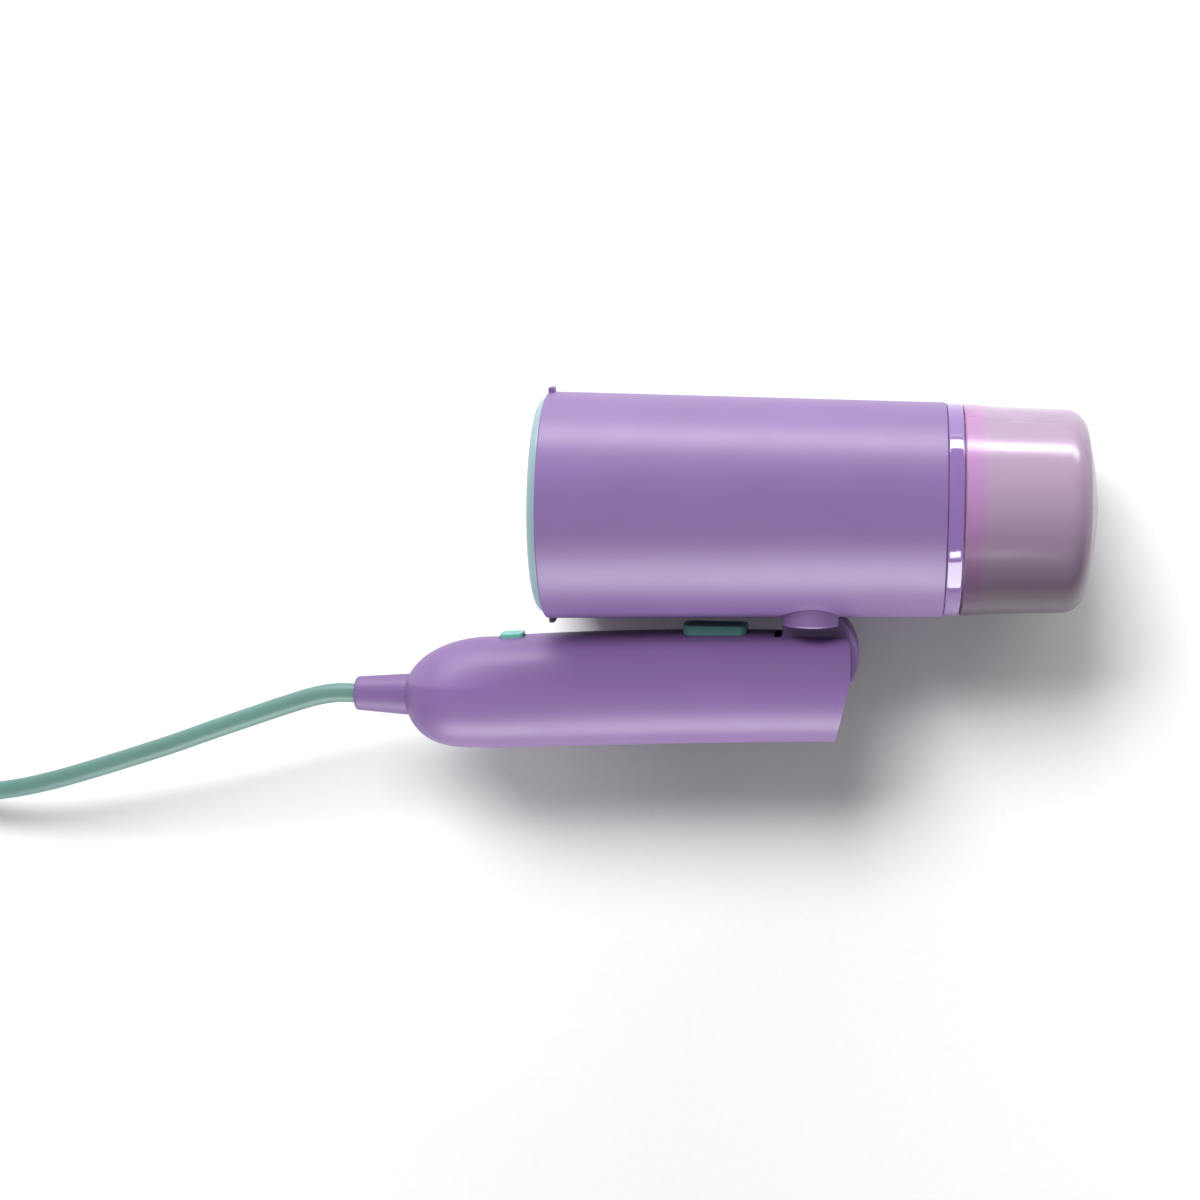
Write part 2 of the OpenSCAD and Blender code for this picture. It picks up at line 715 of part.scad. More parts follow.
module trigger_switch() color("black") stand() {
    translate([switch_x, trigger_floor - 11.5, -3]) cube([switch_len, 7, 6]);
    // Its plunger stands a little clear of the flange at full travel
    translate([switch_x + 5, trigger_floor - 4.5, -1.2]) cube([2.5, 2.9 - trigger_travel, 2.4]);
    translate([switch_x - 2, trigger_floor - 13, -5]) cube([24, 1.5, 10]);
    rod_y(trigger_floor - 11.5, 5, 1.9, x = trigger_x + spring_at);
}

button_x = tail_x + 34.5;
button_w = 6;
button_corner = 1.5;
button_deep = 4;
button_flange_t = 1.2;
button_switch_top = -button_deep - button_flange_t - button_travel - 2.2;
// Floor of the pocket in the button that its spring pushes on
button_pocket = -2.5;
button_tilt = atan((line_top(button_x + 1) - line_top(button_x - 1)) / 2);

// Places what belongs to the power button square to the grip's surface there
module at_button() translate([button_x, line_top(button_x), 0]) rotate([0, 0, button_tilt]) children();

module button_hole() at_button() translate([0, -8, 0]) 
    round_bar(button_len + 2 * run, button_w + 2 * run, 20, button_corner + run);

module power_button() color([0.50, 0.82, 0.75]) stand() at_button() difference() {
    union() {
        translate([0, -button_deep, 0]) round_bar(button_len, button_w, button_deep + button_proud, button_corner);
        translate([0, -button_deep - button_flange_t, 0])
            round_bar(button_len + 3, button_w + 3, button_flange_t, button_corner);
    }
    rod_y(-6, button_pocket + 6, 1.9);
}

module button_spring() color("silver") stand() at_button() difference() {
    rod_y(button_switch_top, button_pocket - button_switch_top, 1.7);
    rod_y(button_switch_top - 0.6, 8, 1.2);
}

module power_switch() color("black") stand() at_button()
    translate([-6, button_switch_top - 7, -4.5]) cube([12, 7, 9]);

// ---- lead inside the grip ----

module terminal_block() color("beige") stand() difference() {
    translate([tail_x + 62, pivot[1] - 17, -9]) cube([14, 8, 18]);
    for (z = [-6, 0, 6]) rod_y(pivot[1] - 11, 6, 1.6, x = tail_x + 69, z = z);
    rod_x(tail_x + 61, 4, cord_r + fit, y = relief_y);
}

module inner_lead() color([0.50, 0.66, 0.62]) stand() rod_x(tail_x + 4, 60, cord_r, y = relief_y);

clamp_x = tail_x + 18;

module cord_clamp() color("gainsboro") stand() difference() {
    translate([clamp_x, relief_y - 9, 0.5]) cube([9, 18, 5]);
    rod_x(clamp_x - 1, 12, cord_r + fit, y = relief_y);
    for (side = [-1, 1]) rod_z(-1, 10, 1.3, [clamp_x + 4.5, relief_y + side * 6.6]);
}

module clamp_screws() color("silver") stand() for (side = [-1, 1]) {
    rod_z(-2, 7.5, 1.25, [clamp_x + 4.5, relief_y + side * 6.6]);
    rod_z(5.5, 1.6, 2.3, [clamp_x + 4.5, relief_y + side * 6.6]);
}

relief_seat_r = 6.6;
relief_tip_r = 5.4;
relief_collar_r = 7.6;

module strain_relief() color([0.56, 0.45, 0.67]) stand() difference() {
    union() {
        rod_x(relief_x, relief_len, relief_tip_r, relief_seat_r, y = relief_y);
        rod_x(relief_x + relief_len, tail_x + 4 - relief_x - relief_len, relief_seat_r, y = relief_y);
        rod_x(tail_x + 4, 3, relief_collar_r, y = relief_y);
    }
    rod_x(tail_x + 3, 8, cord_r + fit, y = relief_y);
}

// ---- free lead ----

function unit(v) = v / norm(v);
function heading(p, i) = unit(p[min(i + 1, len(p) - 1)] - p[max(i - 1, 0)]);
function ring_at(c, d, r, sides = 10) =
    let (u = unit(cross(d, [0, 0, 1])), v = cross(u, d))
    [for (k = [0 : sides - 1]) c + r * (cos(360 * k / sides) * u + sin(360 * k / sides) * v)];

module tube(route, r) skin([for (i = [0 : len(route) - 1]) ring_at(route[i], heading(route, i), r)]);

module cord_lead() color([0.50, 0.66, 0.62]) stand() tube(cord_route, cord_r);

module cord_tail() color([0.50, 0.66, 0.62]) stand() tube(tail_route, cord_r);

// Outer shape of the coil: the turns side by side, in layers
module cord_coil() color([0.50, 0.66, 0.62]) stand() translate([coil_c[0], coil_c[1], floor_z])
    rotate_extrude() polygon(concat(
        arc([coil_outer - cord_r, cord_r], cord_r, -90, 0, 4),
        arc([coil_outer - cord_r, cord_d * coil_high - cord_r], cord_r, 0, 90, 4),
        arc([coil_inner + cord_r, cord_d * coil_high - cord_r], cord_r, 90, 180, 4),
        arc([coil_inner + cord_r, cord_r], cord_r, 180, 270, 4)
    ));

// Paper band around the coil
tie_gap = 0.5;
tie_t = 0.4;
module coil_tie() color("white") stand() translate([coil_c[0], coil_c[1] + coil_mean_r, floor_z])
    difference() {
        translate([-4, -coil_wide * cord_r - tie_gap - tie_t, 0])
            cube([8, coil_wide * cord_d + 2 * (tie_gap + tie_t), cord_d * coil_high + 0.1 + tie_t]);
        translate([-5, -coil_wide * cord_r - tie_gap, -1])
            cube([10, coil_wide * cord_d + 2 * tie_gap, cord_d * coil_high + 1.1]);
    }

module plug_body() color([0.50, 0.66, 0.62]) stand() translate([coil_x, plug_y, plug_z]) rotate([-90, 0, 0]) {
    linear_extrude(plug_len) plug_face();
    translate([0, 0, -plug_shoulder]) cylinder(h = plug_shoulder, r1 = plug_neck_r, r2 = 10.5);
    translate([0, 0, -plug_shoulder - 10]) cylinder(h = 10, r1 = 4.4, r2 = plug_neck_r);
}

module plug_face() {
    flat = plug_wide - plug_high / 2;
    square([flat, plug_high], center = true);
    for (side = [-1, 1]) translate([side * flat / 2, 0]) intersection() {
        circle(plug_high / 2);
        square([plug_high / 2, plug_high], center = true);
    }
}

module plug_pins() color("silver") stand() for (side = [-1, 1])
    translate([coil_x + side * plug_pin_gap / 2, plug_y + plug_len, plug_z]) rotate([-90, 0, 0]) {
        cylinder(h = plug_pin_len - plug_pin_r * 0.5, r = plug_pin_r);
        translate([0, 0, plug_pin_len - plug_pin_r * 0.5])
            cylinder(h = plug_pin_r * 0.5, r1 = plug_pin_r, r2 = plug_pin_r * 0.6);
    }

head_shell();
front_bezel();
steam_plate();
plate_seal();
steam_chamber();
heating_element();
chamber_cover();
cover_screws();
chamber_insulator();
thermostat();
thermal_fuse();
water_pump();
pump_bracket();
feed_hose();
suction_hose();
control_board();
rear_collar();
tank_spigot();
hinge_neck();
neck_screws();
tank_shell();
tank_front();
nozzle_seal();
valve_plunger();
valve_spring();
filler_plug();
suction_tube();
grip_upper();
grip_lower();
grip_screws();
hinge_pin();
hinge_washers();
detent_plunger();
detent_spring();
trigger();
trigger_spring();
trigger_switch();
power_button();
button_spring();
power_switch();
terminal_block();
cord_clamp();
clamp_screws();
inner_lead();
strain_relief();
cord_lead();
cord_coil();
cord_tail();
coil_tie();
plug_body();
plug_pins();
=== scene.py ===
# %% [markdown]
# # A folding garment steamer, finished in Blender
# The measured model comes first. It holds every sub-part at its real size and knows how each one
# moves. This lesson adds the looks around it: soft edges, seams, the wound mains lead and the
# finishes. Nothing from the measured model is moved or resized.

# %% Load the measured model
import json
import math
import bpy
from mathutils import Matrix, Vector


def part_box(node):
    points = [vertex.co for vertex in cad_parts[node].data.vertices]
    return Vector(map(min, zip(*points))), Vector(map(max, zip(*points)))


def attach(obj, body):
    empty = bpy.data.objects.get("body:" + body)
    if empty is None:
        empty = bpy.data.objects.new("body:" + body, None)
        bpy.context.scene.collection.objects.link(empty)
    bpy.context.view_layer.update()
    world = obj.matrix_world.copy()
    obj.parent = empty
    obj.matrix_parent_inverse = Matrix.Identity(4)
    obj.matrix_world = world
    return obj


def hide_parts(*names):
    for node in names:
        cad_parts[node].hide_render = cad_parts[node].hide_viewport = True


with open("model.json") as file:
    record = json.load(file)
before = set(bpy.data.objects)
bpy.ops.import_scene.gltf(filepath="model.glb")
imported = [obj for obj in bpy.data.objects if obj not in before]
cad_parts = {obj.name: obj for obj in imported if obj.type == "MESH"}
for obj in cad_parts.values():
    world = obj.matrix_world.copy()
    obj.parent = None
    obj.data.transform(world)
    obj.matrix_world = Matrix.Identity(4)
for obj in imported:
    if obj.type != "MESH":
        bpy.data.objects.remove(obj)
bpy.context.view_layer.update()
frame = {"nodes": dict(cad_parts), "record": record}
MM = 0.001

# %% [markdown]
# Every place used below is read from the model's own boxes, so the pieces follow the measured model.
# The head's axis runs along X through the middle of the steam plate, and the hinge pin stands
# upright along Z.

# %% Measure the landmarks
def corners(node):
    """Lowest and highest corner of a sub-part."""
    return [Vector(corner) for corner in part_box(node)]


def middle(node):
    low, high = corners(node)
    return (low + high) / 2


def half_size(node):
    low, high = corners(node)
    return (high - low) / 2


head_axis = middle("steam_plate")
shell_low, shell_high = corners("head_shell")
front_x, rear_x = shell_low.x, shell_high.x
pivot = middle("hinge_pin")
relief_low, relief_high = corners("strain_relief")
relief_axis = middle("strain_relief")
print("head axis", [round(v, 4) for v in head_axis], "hinge", [round(v, 4) for v in pivot])

# %% [markdown]
# The object was looked at from almost straight above, a little towards its back edge, from 0.69 m.
# A plain camera object is placed there and turned towards a point between the barrel and the
# coming lead. The upright picture direction is +Y.

# %% Place the camera
camera_data = bpy.data.cameras.new("camera")
camera = bpy.data.objects.new("camera", camera_data)
bpy.context.scene.collection.objects.link(camera)
bpy.context.scene.camera = camera
camera_place = Vector((front_x + 0.091, head_axis.y + 0.0797, head_axis.z + 0.687))
camera_aim = Vector((front_x + 0.016, head_axis.y - 0.0297, head_axis.z))
camera.location = camera_place
back = (camera_place - camera_aim).normalized()
right = Vector((0, 1, 0)).cross(back).normalized()
camera.rotation_euler = Matrix((right, back.cross(right), back)).transposed().to_euler()
camera_data.lens = 67.2
camera_data.sensor_width = 36
camera_data.clip_start = 0.01
print("camera", [round(v, 4) for v in camera_place])

# %% [markdown]
# The mains lead is a 6.2 mm round cord, 1.8 m long. It leaves the grip's strain relief straight,
# sinks to the table under its own weight, and the rest is wound into a neat two-layer coil just
# outside the view. A Bezier curve with a round bevel keeps its true thickness everywhere, and its
# line is the cord's centreline: the bevel is one metre and each point's radius scales it. The free
# stretch is a short list of given points, and a loop works out the turns of the coil.

# %% Lay the mains lead
LEAD_R = 3.1 * MM
LEAD_D = 2 * LEAD_R
lead_shift = Vector((relief_low.x + 0.062, relief_axis.y + 0.061, relief_axis.z))
lead_route = [
    (-0.062, -0.061, 0), (-0.068, -0.061, 0), (-0.075, -0.0623, -0.0005), (-0.084, -0.0652, -0.0012),
    (-0.096, -0.0696, -0.0026), (-0.110, -0.0749, -0.0049), (-0.124, -0.0804, -0.0074),
    (-0.139, -0.0859, -0.0102), (-0.154, -0.0912, -0.0132), (-0.169, -0.0962, -0.0164),
    (-0.184, -0.1003, -0.0200), (-0.199, -0.1030, -0.0238), (-0.214, -0.1041, -0.0274),
    (-0.229, -0.1043, -0.0302), (-0.242, -0.1043, -0.0317),
]
tail_route = [
    (-0.2978, -0.0525, -0.0257), (-0.2978, -0.0445, -0.0248), (-0.2978, -0.0365, -0.0234),
    (-0.2978, -0.0285, -0.0222), (-0.2978, -0.0215, -0.0222),
]
coil_low_z = corners("cord_coil")[0].z
coil_centre = middle("cord_coil")
outer_turn = half_size("cord_coil").x - LEAD_R
turns_wide = 4
coil_turns = 7.25
climb_start = 3.55
climb_turns = 0.4


def ease(t):
    t = max(0.0, min(1.0, t))
    return t * t * (3 - 2 * t)


def coil_point(turn):
    """Centre of the lead after so many turns. The lower layer steps inwards at the end of each
    turn, climbs once at its inmost turn, and the upper layer steps outwards again."""
    climb = ease((turn - climb_start) / climb_turns)
    inmost = turns_wide - 1
    if turn < turns_wide:
        steps = min(inmost, int(turn) + ease((turn % 1 - 0.8) / 0.2))
    else:
        upper_turn = turn + climb_start - inmost
        steps = inmost - int(upper_turn - turns_wide) - ease((upper_turn % 1) / 0.3) + 1
        steps = min(inmost, max(0, steps))
    radius = outer_turn - steps * LEAD_D
    angle = math.radians(270 - 360 * turn)
    return Vector((coil_centre.x + radius * math.cos(angle), coil_centre.y + radius * math.sin(angle),
                   coil_low_z + LEAD_R + climb * LEAD_D))


points_per_turn = 24
coil_path = [coil_point(i / points_per_turn) for i in range(int(coil_turns * points_per_turn) + 1)]
lead_path = ([Vector(p) + lead_shift for p in lead_route] + coil_path
             + [Vector(p) + lead_shift for p in tail_route])
lead_curve = bpy.data.curves.new("mains_lead", "CURVE")
lead_curve.dimensions = "3D"
lead_curve.bevel_depth = 1.0
lead_curve.bevel_resolution = 5
lead_curve.resolution_u = 3
lead_curve.render_resolution_u = 3
lead_curve.use_fill_caps = True
spline = lead_curve.splines.new("BEZIER")
spline.bezier_points.add(len(lead_path) - 1)
for knot, place in zip(spline.bezier_points, lead_path):
    knot.co = place
    knot.radius = LEAD_R
    knot.handle_left_type = knot.handle_right_type = "AUTO"
mains_lead = bpy.data.objects.new("mains_lead", lead_curve)
bpy.context.scene.collection.objects.link(mains_lead)
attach(mains_lead, "grip")
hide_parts("cord_lead", "cord_coil", "cord_tail")

# %% [markdown]
# Every new piece starts as one of Blender's primitives and is shaped in edit mode. Round pieces of
# the barrel are turned: a single vertex is extruded along half an outline, and Spin carries the
# outline round the barrel's axis. Flat-sided pieces are cut out: the vertex walks round a closed
# outline, the outline is filled, and the face is pulled out. Two small helpers hold those steps.

# %% Two ways to make a piece
def start_vertex(name, place):
    """Leaves edit mode open on a new piece that is one vertex."""
    bpy.ops.object.select_all(action="DESELECT")
    bpy.ops.mesh.primitive_plane_add(size=MM, location=place)
    piece = bpy.context.object
    piece.name = piece.data.name = name
    bpy.ops.object.transform_apply(location=True, rotation=True, scale=True)
    bpy.ops.object.mode_set(mode="EDIT")
    bpy.ops.mesh.select_all(action="SELECT")
    bpy.ops.mesh.merge(type="CENTER")
    return piece


def walk(places):
    """Extrudes the selected vertex from place to place."""
    for here, there in zip(places, places[1:]):
        bpy.ops.mesh.extrude_vertices_move(TRANSFORM_OT_translate={"value": there - here})


def close_up(piece, smooth=35):
    """Joins the loose ends, turns all faces outwards and shades the piece."""
    bpy.ops.mesh.select_all(action="SELECT")
    bpy.ops.mesh.remove_doubles(threshold=0.01 * MM)
    bpy.ops.mesh.normals_make_consistent(inside=False)
    bpy.ops.object.mode_set(mode="OBJECT")
    bpy.ops.object.shade_smooth_by_angle(angle=math.radians(smooth))
    return piece


def turned(name, outline, middle_line, steps=128):
    """outline is a list of (place along X, radius); middle_line is a point on the axis."""
    places = [Vector((x, middle_line.y, middle_line.z + r)) for x, r in outline]
    piece = start_vertex(name, places[0])
    walk(places)
    bpy.ops.mesh.select_all(action="SELECT")
    bpy.ops.mesh.spin(steps=steps, angle=math.tau, center=(0, middle_line.y, middle_line.z),
                      axis=(1, 0, 0))
    return close_up(piece)


def cut_out(name, outline, along):
    """outline is a closed list of points in one plane; along is the way its face is pulled."""
    places = [Vector(p) for p in outline]
    piece = start_vertex(name, places[0])
    walk(places)
    bpy.ops.mesh.select_all(action="SELECT")
    bpy.ops.mesh.edge_face_add()
    bpy.ops.mesh.extrude_region_move(TRANSFORM_OT_translate={"value": along})
    return close_up(piece)


def bow(centre, radius, start, stop, steps=8):
    """Points along an arc, in a plane; angles in degrees."""
    angles = [math.radians(start + (stop - start) * i / steps) for i in range(steps + 1)]
    return [(centre[0] + radius * math.cos(a), centre[1] + radius * math.sin(a)) for a in angles]


def apply_modifiers(piece):
    bpy.ops.object.select_all(action="DESELECT")
    bpy.context.view_layer.objects.active = piece
    piece.select_set(True)
    for modifier in list(piece.modifiers):
        bpy.ops.object.modifier_apply(modifier=modifier.name)


def combine(piece, other, how):
    """Cuts, joins or crosses a piece with another solid, which is then removed."""
    step = piece.modifiers.new(how.lower(), "BOOLEAN")
    step.operation = how
    step.object = other
    step.solver = "EXACT"
    apply_modifiers(piece)
    bpy.data.objects.remove(other, do_unlink=True)


def soften(piece, width, segments=3, angle=40):
    """Rounds every edge that is sharper than the angle."""
    step = piece.modifiers.new("soften", "BEVEL")
    step.width = width
    step.segments = segments
    step.limit_method = "ANGLE"
    step.angle_limit = math.radians(angle)
    step.use_clamp_overlap = True
    apply_modifiers(piece)
    bpy.ops.object.shade_smooth_by_angle(angle=math.radians(35))
    return piece


print("helpers ready")

# %% [markdown]
# The steamer is almost all moulded plastic, in a dozen finishes. Real mouldings are never one flat
# colour: the pigment clouds a little, the tool leaves a fine grain that breaks up the gloss, and
# handling polishes edges. One function makes a layered finish of the clouding, the grain and a
# gloss that varies in patches, and each finish gets its own colour, gloss, grain size and depth.
# All patterns read Object coordinates, in metres, so they stay on the piece when it moves.

# %% Moulded plastic
def shader(name):
    """A new material: its node tree, its Principled shader and a maker of nodes."""
    material = bpy.data.materials.new(name)
    material.use_nodes = True
    tree = material.node_tree
    principled = tree.nodes["Principled BSDF"]

    def node(kind, links=(), **settings):
        made = tree.nodes.new(kind)
        for key, value in settings.items():
            if key in made.inputs:
                made.inputs[key].default_value = value
            else:
                setattr(made, key.lower().replace(" ", "_"), value)
        for source, socket in links:
            tree.links.new(source, made.inputs[socket])
        return made

    return material, tree, principled, node


def blend_colours(node, amount, first, second):
    """A colour ramp between two colours, driven by amount."""
    ramp = node("ShaderNodeValToRGB", [(amount, "Fac")])
    ramp.color_ramp.elements[0].color = (*first, 1)
    ramp.color_ramp.elements[1].color = (*second, 1)
    return ramp


SMEARED = 0.05


def moulded(name, colour, gloss=0.42, cloud=0.06, grain=0.35, depth=0.02, coat=0.0):
    """Pigment that clouds slightly, and a tool grain of that size in mm and depth in mm."""
    material, tree, principled, node = shader(name)
    place = node("ShaderNodeTexCoord")
    clouds = node("ShaderNodeTexNoise", [(place.outputs["Object"], "Vector")], Scale=38.0, Detail=3.0)
    darker = tuple(c * (1 - cloud) for c in colour)
    lighter = tuple(min(1, c * (1 + cloud)) for c in colour)
    tint = blend_colours(node, clouds.outputs["Fac"], darker, lighter)
    tint.color_ramp.elements[0].position = 0.3
    tint.color_ramp.elements[1].position = 0.7
    tree.links.new(tint.outputs["Color"], principled.inputs["Base Color"])
    fine = node("ShaderNodeTexNoise", [(place.outputs["Object"], "Vector")],
                Scale=1000.0 / grain / 2, Detail=2.0, Roughness=0.6)
    smears = node("ShaderNodeTexNoise", [(place.outputs["Object"], "Vector")], Scale=70.0, Detail=4.0)
    shine = node("ShaderNodeMapRange", [(smears.outputs["Fac"], "Value")])
    shine.inputs["To Min"].default_value = max(0.02, gloss - SMEARED)
    shine.inputs["To Max"].default_value = gloss + SMEARED
    tree.links.new(shine.outputs["Result"], principled.inputs["Roughness"])
    bump = node("ShaderNodeBump", [(fine.outputs["Fac"], "Height")], Distance=depth * MM, Strength=0.6)
    tree.links.new(bump.outputs["Normal"], principled.inputs["Normal"])
    principled.inputs["Coat Weight"].default_value = coat
    principled.inputs["Coat Roughness"].default_value = 0.05
    return material


mouldings = {
    "lilac_shell": dict(colour=(0.120, 0.069, 0.180), gloss=0.42, cloud=0.03),
    "lilac_grip": dict(colour=(0.128, 0.070, 0.190), gloss=0.46, cloud=0.03),
    "lilac_gloss": dict(colour=(0.13, 0.072, 0.205), gloss=0.09, cloud=0.02, grain=2.5,
                        depth=0.003, coat=0.6),
    "lilac_relief": dict(colour=(0.108, 0.060, 0.165), gloss=0.52, cloud=0.04, grain=0.5),
    "mint_bezel": dict(colour=(0.16, 0.235, 0.26), gloss=0.30, cloud=0.03),
    "mint_trigger": dict(colour=(0.10, 0.30, 0.26), gloss=0.34, cloud=0.04),
    "mint_lead": dict(colour=(0.066, 0.140, 0.122), gloss=0.48, cloud=0.05, grain=0.6, depth=0.03),
    "nylon": dict(colour=(0.72, 0.70, 0.62), gloss=0.38, cloud=0.05),
    "black_plastic": dict(colour=(0.018, 0.018, 0.020), gloss=0.45, cloud=0.15, grain=0.6,
                          depth=0.04),
    "seal_silicone": dict(colour=(0.035, 0.035, 0.040), gloss=0.55, cloud=0.1),
    "filler_silicone": dict(colour=(0.34, 0.22, 0.48), gloss=0.5, cloud=0.05),
    "paper_tie": dict(colour=(0.80, 0.79, 0.75), gloss=0.75, cloud=0.05, grain=0.9, depth=0.08),
    "ceramic_white": dict(colour=(0.74, 0.71, 0.62), gloss=0.25, cloud=0.06, grain=1.2, coat=0.3),
}
finishes = {name: moulded(name, **look) for name, look in mouldings.items()}
print("mouldings:", len(finishes))

# %% [markdown]
# The water tank is a tinted, frosted plastic. Light goes in, scatters and comes out again, so it
# looks deeper than paint. The skirt in front is clear enough for the pink spigot behind it to show.
# A mild transmission with a rough surface does this, and a ramp along X tints the skirt pinker than
# the rest of the tank.

# %% Frosted tank, spigot and hoses
wall_start = corners("tank_spigot")[1].x


def frosted(name, front, rear, clear, gloss):
    """Tint that turns from front to rear behind the spigot's end."""
    material, tree, principled, node = shader(name)
    place = node("ShaderNodeTexCoord")
    apart = node("ShaderNodeSeparateXYZ", [(place.outputs["Object"], "Vector")])
    along = node("ShaderNodeMapRange", [(apart.outputs["X"], "Value")])
    along.inputs["From Min"].default_value = wall_start - 0.4 * MM
    along.inputs["From Max"].default_value = wall_start + 1.2 * MM
    ramp = blend_colours(node, along.outputs["Result"], front, rear)
    streaks = node("ShaderNodeTexNoise", [(place.outputs["Object"], "Vector")], Scale=55.0, Detail=3.0)
    mixed = node("ShaderNodeMix", [(streaks.outputs["Fac"], "Factor")],
                 data_type="RGBA", blend_type="MULTIPLY")
    tree.links.new(ramp.outputs["Color"], mixed.inputs["A"])
    mixed.inputs["B"].default_value = (0.94, 0.94, 0.95, 1)
    tree.links.new(mixed.outputs["Result"], principled.inputs["Base Color"])
    frost = node("ShaderNodeMapRange", [(streaks.outputs["Fac"], "Value")])
    frost.inputs["To Min"].default_value = gloss - 0.04
    frost.inputs["To Max"].default_value = gloss + 0.04
    tree.links.new(frost.outputs["Result"], principled.inputs["Roughness"])
    fine = node("ShaderNodeTexNoise", [(place.outputs["Object"], "Vector")], Scale=1200.0, Detail=2.0)
    bump = node("ShaderNodeBump", [(fine.outputs["Fac"], "Height")], Distance=0.01 * MM, Strength=0.5)
    tree.links.new(bump.outputs["Normal"], principled.inputs["Normal"])
    principled.inputs["Transmission Weight"].default_value = clear
    principled.inputs["IOR"].default_value = 1.49
    return material


SKIRT_TINT = (0.36, 0.19, 0.37)
TANK_TINT = (0.325, 0.232, 0.335)
HOSE_TINT = (0.80, 0.80, 0.77)
finishes["tank_plastic"] = frosted("tank_plastic", SKIRT_TINT, TANK_TINT, clear=0.55, gloss=0.20)
finishes["spigot_plastic"] = moulded("spigot_plastic", (0.42, 0.15, 0.38), gloss=0.22, cloud=0.03,
                                     coat=0.3)
finishes["hose_silicone"] = frosted("hose_silicone", HOSE_TINT, HOSE_TINT, clear=0.3, gloss=0.35)
print("tank wall starts at", round(wall_start, 4))

# %% [markdown]
# Metal parts differ in how they were worked. The steam plate is brushed in one direction, the
# steam chamber is cast and pebbly, springs and screws are drawn and plated. A noise stretched far
# along one axis gives brush marks, and a Voronoi pattern gives the cast skin.

# %% Worked metals
def metal(name, colour, gloss, stretch=(1, 1, 1), grain=900.0, depth=0.02, cast=False):
    """Stained metal with marks of its working; stretch draws them out, cast makes them pebbly."""
    material, tree, principled, node = shader(name)
    place = node("ShaderNodeTexCoord")
    laid = node("ShaderNodeMapping", [(place.outputs["Object"], "Vector")])
    laid.inputs["Scale"].default_value = stretch
    if cast:
        marks = node("ShaderNodeTexVoronoi", [(laid.outputs["Vector"], "Vector")], Scale=grain)
        height = marks.outputs["Distance"]
    else:
        marks = node("ShaderNodeTexNoise", [(laid.outputs["Vector"], "Vector")], Scale=grain, Detail=3.0)
        height = marks.outputs["Fac"]
    stain = node("ShaderNodeTexNoise", [(place.outputs["Object"], "Vector")], Scale=90.0, Detail=4.0)
    tint = blend_colours(node, stain.outputs["Fac"], tuple(c * 0.86 for c in colour), colour)
    tree.links.new(tint.outputs["Color"], principled.inputs["Base Color"])
    shine = node("ShaderNodeMapRange", [(height, "Value")])
    shine.inputs["To Min"].default_value = max(0.05, gloss - 0.08)
    shine.inputs["To Max"].default_value = gloss + 0.08
    tree.links.new(shine.outputs["Result"], principled.inputs["Roughness"])
    bump = node("ShaderNodeBump", [(height, "Height")], Distance=depth * MM, Strength=0.5)
    tree.links.new(bump.outputs["Normal"], principled.inputs["Normal"])
    principled.inputs["Metallic"].default_value = 1.0
    return material


finishes["plate_metal"] = metal("plate_metal", (0.62, 0.62, 0.64), 0.30, stretch=(1, 0.04, 1.6))
finishes["cast_aluminium"] = metal("cast_aluminium", (0.50, 0.50, 0.52), 0.45, grain=700.0,
                                   depth=0.08, cast=True)
finishes["element_steel"] = metal("element_steel", (0.20, 0.17, 0.15), 0.38)
finishes["screw_steel"] = metal("screw_steel", (0.52, 0.52, 0.54), 0.28)
finishes["spring_steel"] = metal("spring_steel", (0.44, 0.44, 0.46), 0.25, grain=1500.0)
finishes["pin_brass"] = metal("pin_brass", (0.66, 0.62, 0.54), 0.16, stretch=(1, 0.1, 1))
finishes["insulation"] = moulded("insulation", (0.66, 0.56, 0.38), gloss=0.85, cloud=0.18,
                                 grain=1.6, depth=0.4)
finishes["board_green"] = moulded("board_green", (0.012, 0.10, 0.045), gloss=0.28, cloud=0.25,
                                  grain=1.0, coat=0.4)
print("finishes:", len(finishes))

# %% [markdown]
# Each sub-part of the measured model names a finish in the record. Pieces that keep their
# measured shape get that finish on their own slots, and the new pieces below use the same names.

# %% Dress the measured sub-parts
slot_of = {part["node"]: part["material_slot"] for part in frame["record"]["subparts"]}
for node_name, solid in frame["nodes"].items():
    finish = finishes[slot_of[node_name]]
    if not solid.material_slots:
        solid.data.materials.append(finish)
    for held in solid.material_slots:
        held.material = finish
mains_lead.data.materials.append(finishes["mint_lead"])


def fit_piece(piece, body, finish, *nodes):
    """Gives the piece its finish and body, and lets it stand for its measured sub-parts."""
    piece.data.materials.clear()
    piece.data.materials.append(finishes[finish])
    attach(piece, body)
    if nodes:
        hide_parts(*nodes)
    low = [min(v.co[i] for v in piece.data.vertices) for i in range(3)]
    high = [max(v.co[i] for v in piece.data.vertices) for i in range(3)]
    print(piece.name, "size in mm", [round((b - a) / MM, 1) for a, b in zip(low, high)])


print("dressed", len(slot_of))

# %% [markdown]
# The barrel is one thin tapered moulding. Its outline runs from the rounded rim, back along the
# outside, over the rear edge and forward again inside. A shallow ledge behind the rim holds the
# mint bezel, and two small lugs at the rim hold a brush attachment.

# %% Turn the barrel
bezel_low, bezel_high = corners("front_bezel")
front_r = half_size("head_shell").z
collar_r = half_size("rear_collar").y
rear_r = collar_r + 0.15 * MM
bezel_r = half_size("front_bezel").y
